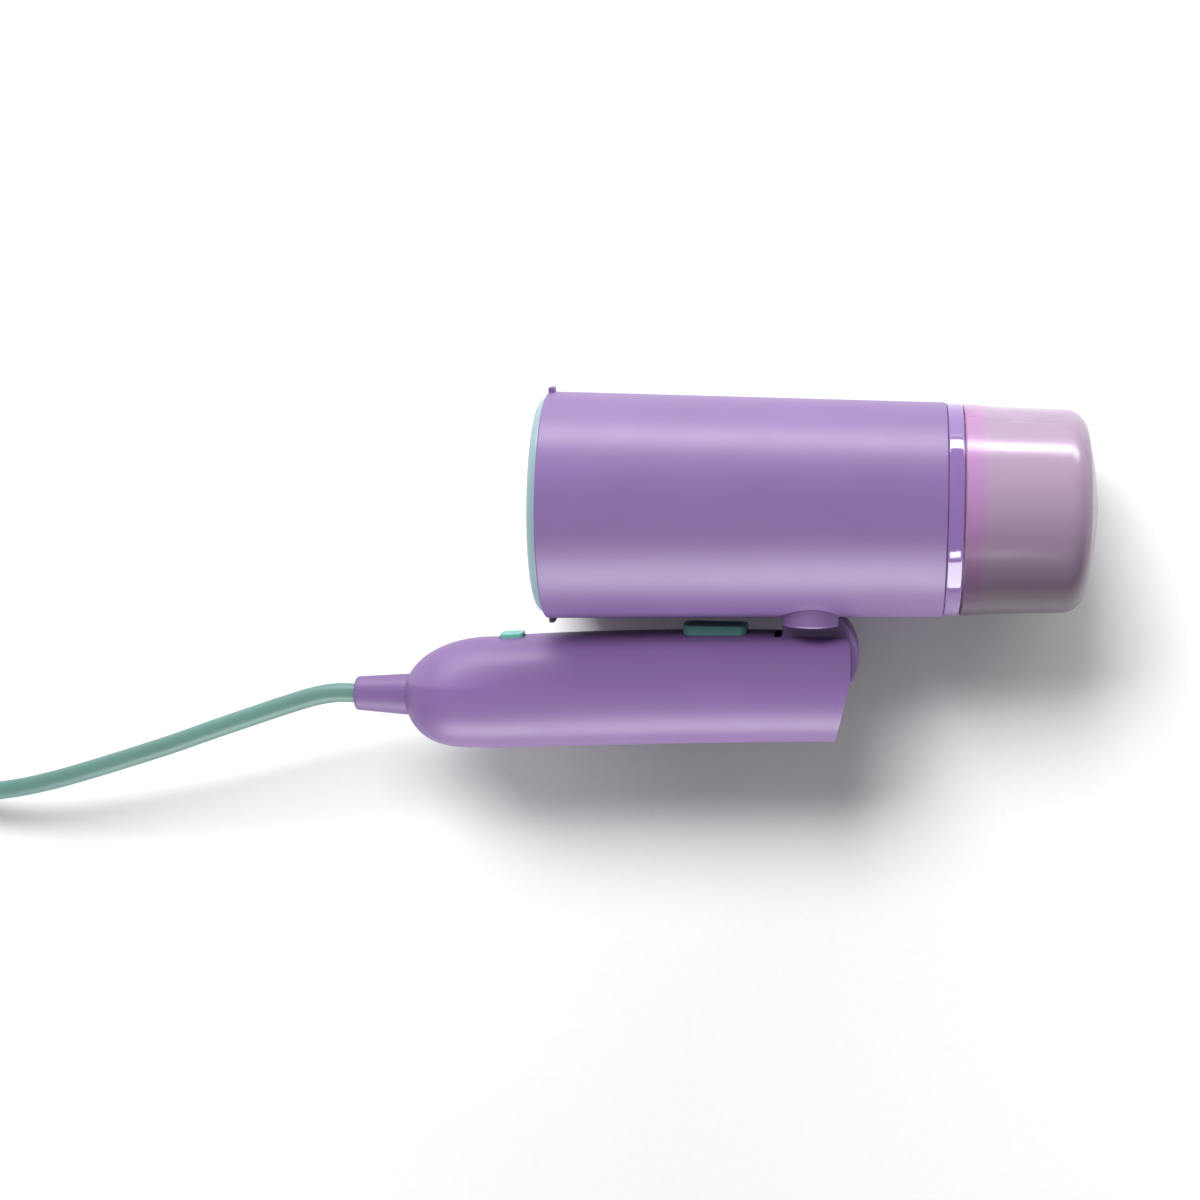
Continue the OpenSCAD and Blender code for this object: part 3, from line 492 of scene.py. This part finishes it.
# Pieces that touch keep this much apart
seat = 0.05 * MM
wall = 2.2 * MM
rim = 0.7 * MM
bevel = 0.3 * MM
ledge = bezel_high.x - front_x
outline = bow((front_x + rim, front_r - rim), rim, 90, 180, 8)
outline += [(front_x, bezel_r + seat + bevel), (front_x + bevel, bezel_r + seat)]
outline += [(front_x + ledge, bezel_r + seat), (front_x + ledge + 4 * MM, front_r - wall)]
outline += [(rear_x, rear_r - wall), (rear_x, rear_r - bevel), (rear_x - bevel, rear_r), outline[0]]
barrel = turned("barrel", outline, head_axis, steps=160)
lug_reach = half_size("head_shell").y - 1.2 * MM
for side in (-1, 1):
    bpy.ops.object.select_all(action="DESELECT")
    bpy.ops.mesh.primitive_cube_add(
        size=1, location=(front_x + 1.2 * MM, head_axis.y + side * lug_reach, head_axis.z),
        scale=(1.8 * MM, 2.4 * MM, 6 * MM))
    lug = bpy.context.object
    bpy.ops.object.transform_apply(location=True, rotation=True, scale=True)
    soften(lug, 0.35 * MM)
    barrel.select_set(True)
    bpy.context.view_layer.objects.active = barrel
    lug.select_set(True)
    bpy.ops.object.join()
barrel.name = "barrel"
fit_piece(barrel, "head", "lilac_shell", "head_shell")

# %% [markdown]
# The mint bezel frames the steam plate and stands a few millimetres out of the rim. Its outer
# edge rolls over in a wide curve, which is what catches the light at the barrel's end.

# %% Turn the bezel
roll = 3.2 * MM
lip_r = 0.8 * MM
mouth_r = half_size("steam_plate").y + seat
skirt_r = bezel_r - 1.6 * MM
outline = [(bezel_low.x + 3.4 * MM, mouth_r), (bezel_low.x + lip_r, mouth_r)]
outline += bow((bezel_low.x + lip_r, mouth_r + lip_r), lip_r, 270, 180, 6)
outline += bow((bezel_low.x + roll, bezel_r - roll), roll, 180, 90, 14)
outline += [(bezel_high.x, bezel_r), (bezel_high.x, skirt_r), (bezel_low.x + 5.2 * MM, skirt_r)]
outline += [outline[0]]
bezel = turned("bezel", outline, head_axis, steps=160)
fit_piece(bezel, "head", "mint_bezel", "front_bezel")

# %% [markdown]
# Behind the barrel sits a narrow polished ring, and a fine dark joint line parts it from the
# shell. The ring's edges are rounded so that each edge shows a thread of light.

# %% Turn the polished ring
edge = 0.6 * MM
spigot_r = half_size("tank_spigot").y
ring_start, ring_end = (corner.x for corner in corners("rear_collar"))
ring_start += seat
outline = [(ring_start, spigot_r + seat)]
outline += bow((ring_start + edge, collar_r - edge), edge, 180, 90, 6)
outline += bow((ring_end - edge, collar_r - edge), edge, 90, 0, 6)
outline += [(ring_end, spigot_r + seat), outline[0]]
ring = turned("polished_ring", outline, head_axis, steps=160)
fit_piece(ring, "head", "lilac_gloss", "rear_collar")

# %% [markdown]
# The water tank is a thin blown cup with a wide soft corner and a slightly domed end. The wall is
# drawn outside first, then inside, so that light passing through crosses real thickness. The
# filling hole in its end is turned in the same outline.

# %% Turn the water tank
tank_low, tank_high = corners("tank_shell")
tank_r = half_size("tank_shell").y
fill_r = half_size("filler_plug").y + 0.1 * MM
end_r = tank_r - 1.4 * MM
corner = 7 * MM
dome = 3.2 * MM
tank_wall = 1.8 * MM


def dome_line(inset, steps):
    """The end wall from the corner to the filling hole, set in by the wall's thickness."""
    reach = end_r - corner
    line = []
    for i in range(steps + 1):
        r = reach + (fill_r - reach) * i / steps
        line.append((tank_high.x - inset - dome * (r / reach) ** 2, r))
    return line


corner_mid = (tank_high.x - dome - corner, end_r - corner)
waist_x, waist_r = tank_low.x + 10 * MM, tank_r - 0.8 * MM
outer = [(tank_low.x + 0.4 * MM, tank_r), (waist_x, waist_r)]
outer += bow(corner_mid, corner, 88, 12, 12)
outer += dome_line(0, 8)
inner = dome_line(tank_wall, 8)[::-1]
inner += bow(corner_mid, corner - tank_wall, 12, 88, 10)
inner += [(waist_x, waist_r - tank_wall), (tank_low.x + bevel, tank_r - tank_wall)]
inner += [(tank_low.x, tank_r - tank_wall + bevel), (tank_low.x, tank_r - 0.4 * MM)]
outline = outer + inner + [outer[0]]
tank = turned("water_tank", outline, head_axis, steps=160)
fit_piece(tank, "tank", "tank_plastic", "tank_shell")

# %% [markdown]
# Under the tank's skirt is the pink spigot that the tank is pushed onto. It shows through the
# skirt, so it gets its true round edge and a groove with a dark sealing ring. In its middle is the
# socket that takes the tank's nozzle.

# %% Turn the spigot
spigot_start, lip = (corner.x for corner in corners("tank_spigot"))
drain_r = 2 * MM
socket_r = 6.4 * MM
socket_out_r = socket_r + 2 * MM
groove_r = spigot_r - 0.7 * MM
spigot_in_r = spigot_r - 1.8 * MM
outline = [(spigot_start, drain_r), (spigot_start, socket_out_r), (rear_x - 2 * MM, socket_out_r)]
outline += [(rear_x - 2 * MM, spigot_r), (lip - 3.9 * MM, spigot_r), (lip - 3.7 * MM, groove_r)]
outline += [(lip - 2.5 * MM, groove_r), (lip - 2.3 * MM, spigot_r)]
outline += bow((lip - 0.5 * MM, spigot_r - 0.5 * MM), 0.5 * MM, 90, 0, 4) + [(lip, spigot_in_r)]
outline += [(rear_x + 1 * MM, spigot_in_r), (rear_x + 1 * MM, socket_out_r)]
outline += [(rear_x + 4 * MM, socket_out_r), (rear_x + 4 * MM, socket_r)]
outline += [(spigot_start + 2 * MM, socket_r), (spigot_start + 2 * MM, drain_r), outline[0]]
spigot = turned("spigot", outline, head_axis, steps=128)
fit_piece(spigot, "head", "spigot_plastic", "tank_spigot")
groove = bow((lip - 3.1 * MM, spigot_r - 0.35 * MM), 0.42 * MM, 0, 360, 12)
seal = turned("spigot_seal", groove, head_axis, steps=128)
fit_piece(seal, "head", "seal_silicone")

# %% [markdown]
# The hinge saddle is an oval pad moulded onto the underside of the barrel. A round knuckle hangs
# from it between the ears of the grip. Pad and knuckle are cut out of their outlines, their edges
# are rounded, the two are joined, and the barrel's own cone is taken away so that they sit on it.

# %% Cut the hinge saddle
pin_x, pin_y, pin_z = pivot
pad_x0, pad_x1 = pin_x - 11.8 * MM, pin_x + 5.3 * MM
pad_low = pin_y + 10.9 * MM
pad_half = 17 * MM
pad_mid = (pad_x0 + pad_x1) / 2
pad_reach = (pad_x1 - pad_x0) / 2 + 3 * MM
cut_angle = math.degrees(math.acos((pad_x1 - pad_x0) / 2 / pad_reach))
oval = []
for start, stop in ((cut_angle, 180 - cut_angle), (180 + cut_angle, 360 - cut_angle)):
    for i in range(25):
        a = math.radians(start + (stop - start) * i / 24)
        oval.append((pad_mid + pad_reach * math.cos(a), pad_low, pin_z + pad_half * math.sin(a)))
pad = cut_out("hinge_saddle", oval, (0, 12 * MM, 0))
soften(pad, 0.7 * MM)
knuckle_half = half_size("hinge_washers").z - seat
nose = (pin_x - 4.6 * MM, pin_y + 0.5 * MM)
side = [(pad_x0, pin_y + 19 * MM)]
side += bow((pin_x, pin_y), 13.9 * MM, 148, 288.8, 24)
side += bow(nose, 16.4 * MM, -55.5, 52, 24)
side += [(pad_x1, pin_y + 19 * MM)]
knuckle = cut_out("knuckle", [(x, y, pin_z - knuckle_half) for x, y in side], (0, 0, 2 * knuckle_half))
soften(knuckle, 0.6 * MM)
combine(pad, knuckle, "UNION")
cone_start, cone_end = front_x - 5 * MM, rear_x + 5 * MM
cone = turned("cone", [(cone_start, 0), (cone_start, front_r + 0.1 * MM),
                       (cone_end, rear_r - 0.1 * MM), (cone_end, 0)], head_axis, steps=160)
combine(pad, cone, "DIFFERENCE")
pad.name = "hinge_saddle"
bpy.ops.object.shade_smooth_by_angle(angle=math.radians(35))
fit_piece(pad, "head", "lilac_shell", "hinge_neck")

# %% [markdown]
# The grip is a squarish oval in section. Its two long lines draw in gently towards the tail, and
# the tail rounds off like a thumb. A sheet of small squares is rolled round that shape: one way
# along the sheet is the way along the grip, the other goes round it. Above the tail's tip the
# moulding is pared away a little, which leaves a soft crease that fades out along the grip.

# %% Roll the grip
tail_x = pin_x - 131 * MM
tail_y = pin_y - 14.2 * MM
fork_x = pin_x + 12 * MM
grip_half = 18 * MM


top_round, low_round, side_round = 28 * MM, 22 * MM, 21 * MM
crease_y = tail_y + 4.2 * MM


def rounding(share, power):
    """Falls from 1 to 0 like a rounded end, as share goes from 0 to 1."""
    return math.sqrt(max(0.0, 1 - max(0.0, min(1.0, share)) ** power))


def grip_lines(x):
    """Top line, bottom line and half width of the grip at x."""
    drawn = max(0.0, min(1.0, (fork_x - x) / (fork_x - tail_x - top_round)))
    top = pin_y + 7.5 * MM - 3.9 * MM * drawn ** 2.6
    low = pin_y - 26.6 * MM - 4.7 * MM * drawn ** 1.3
    top = tail_y + (top - tail_y) * rounding((tail_x + top_round - x) / top_round, 2)
    low = tail_y + (low - tail_y) * rounding((tail_x + low_round - x) / low_round, 2.7)
    return top, low, grip_half * rounding((tail_x + side_round - x) / side_round, 2.4)


def squarish(value):
    return math.copysign(abs(value) ** 0.88, value)


def grip_place(x, angle, inset):
    """Point on the grip's skin, set in by the wall's thickness."""
    top, low, half = grip_lines(x)
    top, low, half = top - inset, low + inset, half - inset
    y = (top + low) / 2 + (top - low) / 2 * squarish(math.sin(angle))
    z = half * squarish(math.cos(angle))
    fade = 1 - ease((x - tail_x - 14 * MM) / (26 * MM))
    if y > crease_y and top > crease_y:
        z *= 1 - 0.30 * fade * (y - crease_y) / (top - crease_y)
    return Vector((x, y, pin_z + z))


def rolled(name, rings, sides, start, stop, inset):
    """A sheet rolled round the grip's shape from start to stop and closed at both ends."""
    bpy.ops.object.select_all(action="DESELECT")
    bpy.ops.mesh.primitive_grid_add(x_subdivisions=rings, y_subdivisions=sides, size=2,
                                    location=(0, 0, 0))
    sheet = bpy.context.object
    sheet.name = sheet.data.name = name
    for knot in sheet.data.vertices:
        share = ((knot.co.x + 1) / 2) ** 1.7
        knot.co = grip_place(start + (stop - start) * share, math.pi * (knot.co.y + 1), inset)
    bpy.ops.object.mode_set(mode="EDIT")
    bpy.ops.mesh.select_all(action="SELECT")
    bpy.ops.mesh.remove_doubles(threshold=0.01 * MM)
    bpy.ops.mesh.select_all(action="DESELECT")
    bpy.ops.mesh.select_non_manifold()
    bpy.ops.mesh.edge_face_add()
    return close_up(sheet)


grip_wall = 2.4 * MM
grip_shell = rolled("grip_shell", 90, 128, tail_x, fork_x, 0)
hollow = rolled("hollow", 40, 64, tail_x + grip_wall, pin_x - 16.7 * MM, grip_wall)
combine(grip_shell, hollow, "DIFFERENCE")
print("grip faces", len(grip_shell.data.polygons))

# %% [markdown]
# The fork end is cut next: a slanted end, two round ears, and a slot with a round bottom in which
# the head's knuckle turns. Then come the openings for the trigger, the power button and the
# strain relief. Each opening is an outline that is pulled through the wall.

# %% Cut the fork and the openings
ears_r = 10.4 * MM
slot_r = 14.3 * MM
slot_half = knuckle_half + 0.3 * MM
far = 60 * MM
slant = math.radians(-12)
way = Vector((math.cos(slant), math.sin(slant), 0))
across = Vector((-way.y, way.x, 0))
slant_start = pivot + way * 9.9 * MM + Vector((0, 0, -far))
slant_end = slant_start + way * far
end_cut = cut_out("end_cut", [slant_start - across * far, slant_end - across * far,
                              slant_end + across * far, slant_start + across * far], (0, 0, 2 * far))
combine(grip_shell, end_cut, "DIFFERENCE")
ear_end = pin_x + 9.1 * MM
square_cut = cut_out("square_cut",
                     [(ear_end, pin_y - far, -far), (ear_end + far, pin_y - far, -far),
                      (ear_end + far, pin_y + far, -far), (ear_end, pin_y + far, -far)],
                     (0, 0, 3 * far))
combine(grip_shell, square_cut, "DIFFERENCE")
corner_line = bow((pin_x, pin_y), ears_r, 0, 90, 24)
corner_line += [(pin_x, pin_y + far), (pin_x + far, pin_y + far), (pin_x + far, pin_y)]
corner_cut = cut_out("corner_cut", [(x, y, -far) for x, y in corner_line], (0, 0, 3 * far))
combine(grip_shell, corner_cut, "DIFFERENCE")
slot_line = [(pin_x + far, pin_y - slot_r)] + bow((pin_x, pin_y), slot_r, 270, 180, 32)
slot_line += [(pin_x - slot_r, pin_y + far), (pin_x + far, pin_y + far)]
slot_cut = cut_out("slot_cut", [(x, y, pin_z - slot_half) for x, y in slot_line], (0, 0, 2 * slot_half))
combine(grip_shell, slot_cut, "DIFFERENCE")


def round_corners(half_length, half_width, radius, steps):
    """A closed oblong outline with round corners."""
    line = []
    for quarter, (u, w) in enumerate(((1, 1), (-1, 1), (-1, -1), (1, -1))):
        line += bow((u * (half_length - radius), w * (half_width - radius)), radius,
                    90 * quarter, 90 * quarter + 90, steps)
    return line


def square_to(tilt):
    """The way up from the grip's top line where it is tilted."""
    return Vector((-math.sin(tilt), math.cos(tilt), 0))


def round_bar(name, centre, length, width, radius, tilt, depth):
    """A bar with round corners that stands square to the grip's top line."""
    along = Vector((math.cos(tilt), math.sin(tilt), 0))
    line = round_corners(length / 2, width / 2, radius, 8)
    return cut_out(name, [centre + along * u + Vector((0, 0, w)) for u, w in line],
                   square_to(tilt) * depth)


gap = 0.3 * MM
trigger_low, trigger_high = corners("trigger")
trigger_mid = middle("trigger")
trigger_len = trigger_high.x - trigger_low.x - 5 * MM
trigger_w = trigger_high.z - trigger_low.z - 4 * MM
trigger_r = 3 * MM
hole = round_bar("hole", Vector((trigger_mid.x, trigger_low.y - 2 * MM, trigger_mid.z)),
                 trigger_len + 2 * gap, trigger_w + 2 * gap, trigger_r + gap, 0, 22 * MM)
combine(grip_shell, hole, "DIFFERENCE")
button_x = tail_x + 34.5 * MM
button_y = grip_lines(button_x)[0]
button_tilt = math.atan((grip_lines(button_x + MM)[0] - grip_lines(button_x - MM)[0]) / (2 * MM))
button_len, button_w, button_r = 7.6 * MM, 6 * MM, 1.5 * MM
hole_foot = Vector((button_x + 8 * MM * math.sin(button_tilt), button_y - 8 * MM, pin_z))
hole = round_bar("hole", hole_foot, button_len + 2 * gap, button_w + 2 * gap, button_r + gap,
                 button_tilt, 20 * MM)
combine(grip_shell, hole, "DIFFERENCE")
seat_r = 6.6 * MM
hole_start, hole_end = tail_x - 5 * MM, tail_x + 7 * MM
hole = turned("hole", [(hole_start, 0), (hole_start, seat_r + seat), (hole_end, seat_r + seat),
                       (hole_end, 0)], relief_axis, steps=64)
combine(grip_shell, hole, "DIFFERENCE")
print("grip faces", len(grip_shell.data.polygons))

# %% [markdown]
# The real grip is two half shells that meet on the middle plane. Bisect splits the model there,
# with a hair of a gap, and a small bevel rounds the parting edges, the ears and the openings.

# %% Split the grip into halves
def half_grip(name, direction):
    """The part of the grip on one side of the middle plane, its edges rounded."""
    bpy.ops.object.select_all(action="DESELECT")
    half = grip_shell.copy()
    half.data = grip_shell.data.copy()
    half.name = half.data.name = name
    bpy.context.scene.collection.objects.link(half)
    bpy.context.view_layer.objects.active = half
    half.select_set(True)
    bpy.ops.object.mode_set(mode="EDIT")
    bpy.ops.mesh.select_all(action="SELECT")
    bpy.ops.mesh.bisect(plane_co=(0, 0, pin_z + direction * 0.04 * MM),
                        plane_no=(0, 0, -direction), use_fill=True, clear_outer=True)
    bpy.ops.mesh.select_all(action="SELECT")
    bpy.ops.mesh.remove_doubles(threshold=0.05 * MM)
    close_up(half)
    soften(half, 0.25 * MM, segments=2, angle=38)
    return half


grip_top = half_grip("grip_top_half", 1)
grip_bottom = half_grip("grip_bottom_half", -1)
bpy.data.objects.remove(grip_shell, do_unlink=True)
fit_piece(grip_top, "grip", "lilac_grip", "grip_upper")
fit_piece(grip_bottom, "grip", "lilac_grip", "grip_lower")

# %% [markdown]
# The trigger and the power button are small mint keys. Each is a bar with round corners. Its top
# face is inset twice and pressed in a little, which leaves a shallow dish for the fingertip, and a
# flange under the grip's wall keeps it from falling out.

# %% Press the keys
def key(name, centre, length, width, radius, tilt, depth, rim, dish):
    """A bar whose top face is dished inside a rim, with rounded edges."""
    bar = round_bar(name, centre, length, width, radius, tilt, depth)
    up = square_to(tilt)
    bpy.ops.object.mode_set(mode="EDIT")
    bpy.ops.mesh.select_all(action="DESELECT")
    bpy.ops.object.mode_set(mode="OBJECT")
    for face in bar.data.polygons:
        face.select = face.normal.dot(up) > 0.9
    bpy.ops.object.mode_set(mode="EDIT")
    bpy.ops.mesh.select_mode(type="FACE")
    bpy.ops.mesh.inset(thickness=rim)
    bpy.ops.mesh.inset(thickness=rim)
    bpy.ops.transform.translate(value=up * -dish)
    bpy.ops.mesh.select_mode(type="VERT")
    bpy.ops.object.mode_set(mode="OBJECT")
    return soften(bar, 0.45 * MM, segments=3, angle=30)


trigger_deep = 7 * MM
trigger_place = Vector((trigger_mid.x, trigger_high.y - trigger_deep, trigger_mid.z))
trigger_key = key("trigger_key", trigger_place, trigger_len, trigger_w, trigger_r, 0, trigger_deep,
                  rim=1.2 * MM, dish=0.5 * MM)
flange = round_bar("flange", Vector((trigger_mid.x, trigger_low.y, trigger_mid.z)),
                   trigger_len + 5 * MM, trigger_w + 4 * MM, trigger_r, 0, 1.6 * MM)
combine(trigger_key, flange, "UNION")
fit_piece(trigger_key, "trigger", "mint_trigger", "trigger")
up = square_to(button_tilt)
button_place = Vector((button_x, button_y, pin_z))
button_key = key("button_key", button_place - up * 4 * MM, button_len, button_w, button_r,
                 button_tilt, 5.3 * MM, rim=0.7 * MM, dish=0.25 * MM)
flange = round_bar("flange", button_place - up * 5.2 * MM, button_len + 3 * MM, button_w + 3 * MM,
                   button_r, button_tilt, 1.3 * MM)
combine(button_key, flange, "UNION")
fit_piece(button_key, "power_button", "mint_trigger", "power_button")

# %% [markdown]
# The lead leaves the grip through a soft tapered sleeve. It is turned like the barrel, with a
# rounded mouth round the lead and a collar that sits inside the grip's wall.

# %% Turn the strain relief
tip_r = 5.4 * MM
flare = 1.1 * MM
bore_r = LEAD_R + seat
stop_r = 7.6 * MM
stop_x = tail_x + 4 * MM
outline = [(relief_low.x + lip_r, bore_r)]
outline += bow((relief_low.x + lip_r, bore_r + lip_r), lip_r, 270, 180, 5)
outline += bow((relief_low.x + flare, tip_r - flare), flare, 180, 90, 8)
outline += [(tail_x + 1 * MM, seat_r - seat), (stop_x, seat_r - seat), (stop_x, stop_r)]
outline += [(relief_high.x, stop_r), (relief_high.x, bore_r), outline[0]]
sleeve = turned("relief_sleeve", outline, relief_axis, steps=96)
fit_piece(sleeve, "grip", "lilac_relief", "strain_relief")

# %% [markdown]
# The plug is a flat moulding for two round pins. Its body is cut out of an outline with round
# ends, its edges are rounded, and a turned neck leads the cord in. The metal pins keep their
# measured shape.

# %% Mould the plug
plug_low, plug_high = corners("plug_body")
plug_mid = middle("plug_body")
plug_half = half_size("plug_body")
body_len = 30 * MM
body_start = plug_high.y - body_len
plug_line = round_corners(plug_half.x, 13 * MM, 11 * MM, 10)
plug = cut_out("plug", [(plug_mid.x + u, body_start, plug_mid.z + w) for u, w in plug_line],
               (0, body_len, 0))
soften(plug, 1.6 * MM, segments=5)
neck_len = body_start - plug_low.y
neck = turned("neck", [(-1 * MM, 0), (-1 * MM, 10.4 * MM), (8 * MM, 6.5 * MM),
                       (neck_len - 0.8 * MM, 4.4 * MM), (neck_len, 3.6 * MM), (neck_len, 0)],
              Vector((0, 0, 0)), steps=64)
neck.rotation_euler = (0, 0, math.radians(-90))
neck.location = (plug_mid.x, body_start, plug_mid.z)
bpy.ops.object.select_all(action="DESELECT")
neck.select_set(True)
bpy.ops.object.transform_apply(location=True, rotation=True, scale=True)
combine(plug, neck, "UNION")
# Finger grooves across both broad faces
for step in range(5):
    for face in (-1, 1):
        groove_place = (plug_mid.x, body_start + (7 + 3.4 * step) * MM, plug_mid.z + face * 13.3 * MM)
        bpy.ops.object.select_all(action="DESELECT")
        bpy.ops.mesh.primitive_cylinder_add(vertices=24, radius=0.9 * MM, depth=22 * MM,
                                            rotation=(0, math.radians(90), 0), location=groove_place)
        combine(plug, bpy.context.object, "DIFFERENCE")
bpy.context.view_layer.objects.active = plug
plug.select_set(True)
bpy.ops.object.shade_smooth_by_angle(angle=math.radians(35))
fit_piece(plug, "grip", "mint_lead", "plug_body")

# %% [markdown]
# A pale floor fills the view. The light is a studio's. A softbox high on the far left lights
# everything and throws the shadow towards the near right. It is kept out of mirrors, so it leaves no
# streak. A low long one behind brightens the barrel's far flank, and a broad low one in front does
# the same for the near flank. A small strip above it draws the sharp line on the polished ring. The
# two in front leave the floor out, so that the shadow stays dark. Light linking does that, with a
# collection of the pieces each lamp skips.

# %% Floor and lights
bpy.context.scene.view_settings.view_transform = "Standard"
bpy.ops.object.select_all(action="DESELECT")
bpy.ops.mesh.primitive_plane_add(size=8, location=(0, 0, -0.0002))
floor = bpy.context.object
floor.name = "floor"
paper, tree, principled, node = shader("floor_paper")
place = node("ShaderNodeTexCoord")
fibres = node("ShaderNodeTexNoise", [(place.outputs["Object"], "Vector")], Scale=400.0, Detail=3.0)
tint = blend_colours(node, fibres.outputs["Fac"], (0.86, 0.86, 0.86), (0.90, 0.90, 0.90))
tree.links.new(tint.outputs["Color"], principled.inputs["Base Color"])
principled.inputs["Roughness"].default_value = 0.9
principled.inputs["Specular IOR Level"].default_value = 0.1
floor.data.materials.append(paper)


def softbox(name, place, aim, width, height, power):
    """A rectangular lamp turned towards aim; sizes in metres, power in watts."""
    data = bpy.data.lights.new(name, "AREA")
    data.shape = "RECTANGLE"
    data.size, data.size_y, data.energy = width, height, power
    lamp = bpy.data.objects.new(name, data)
    bpy.context.scene.collection.objects.link(lamp)
    lamp.location = place
    lamp.rotation_euler = (Vector(aim) - Vector(place)).to_track_quat("-Z", "Y").to_euler()
    return lamp


barrel_mid = Vector((0.02, head_axis.y, head_axis.z))
key_light = softbox("key", (-0.8, 1.9, 2.05), barrel_mid, 1.7, 1.1, 112)
key_light.visible_glossy = False
softbox("far_low", (0.1, 1.6, 0.29), barrel_mid, 2.4, 0.3, 44)
near_low = softbox("near_low", (0.1, -1.35, 0.60), barrel_mid, 1.8, 0.9, 43)
near_strip = softbox("near_strip", (0.12, -0.92, 1.1), barrel_mid, 0.3, 0.17, 2.2)
for light, kept_dark in ((near_low, (floor, tank)), (near_strip, (floor,))):
    beyond = bpy.data.collections.new(light.name + "_leaves_out")
    for number, piece in enumerate(kept_dark):
        beyond.objects.link(piece)
        beyond.collection_objects[number].light_linking.link_state = "EXCLUDE"
    light.light_linking.receiver_collection = beyond
world = bpy.data.worlds.new("studio")
bpy.context.scene.world = world
world.use_nodes = True
world.node_tree.nodes["Background"].inputs["Color"].default_value = (1.0, 1.0, 1.0, 1)
world.node_tree.nodes["Background"].inputs["Strength"].default_value = 0.30
print("lit")

# %% Finish
bpy.context.view_layer.update()
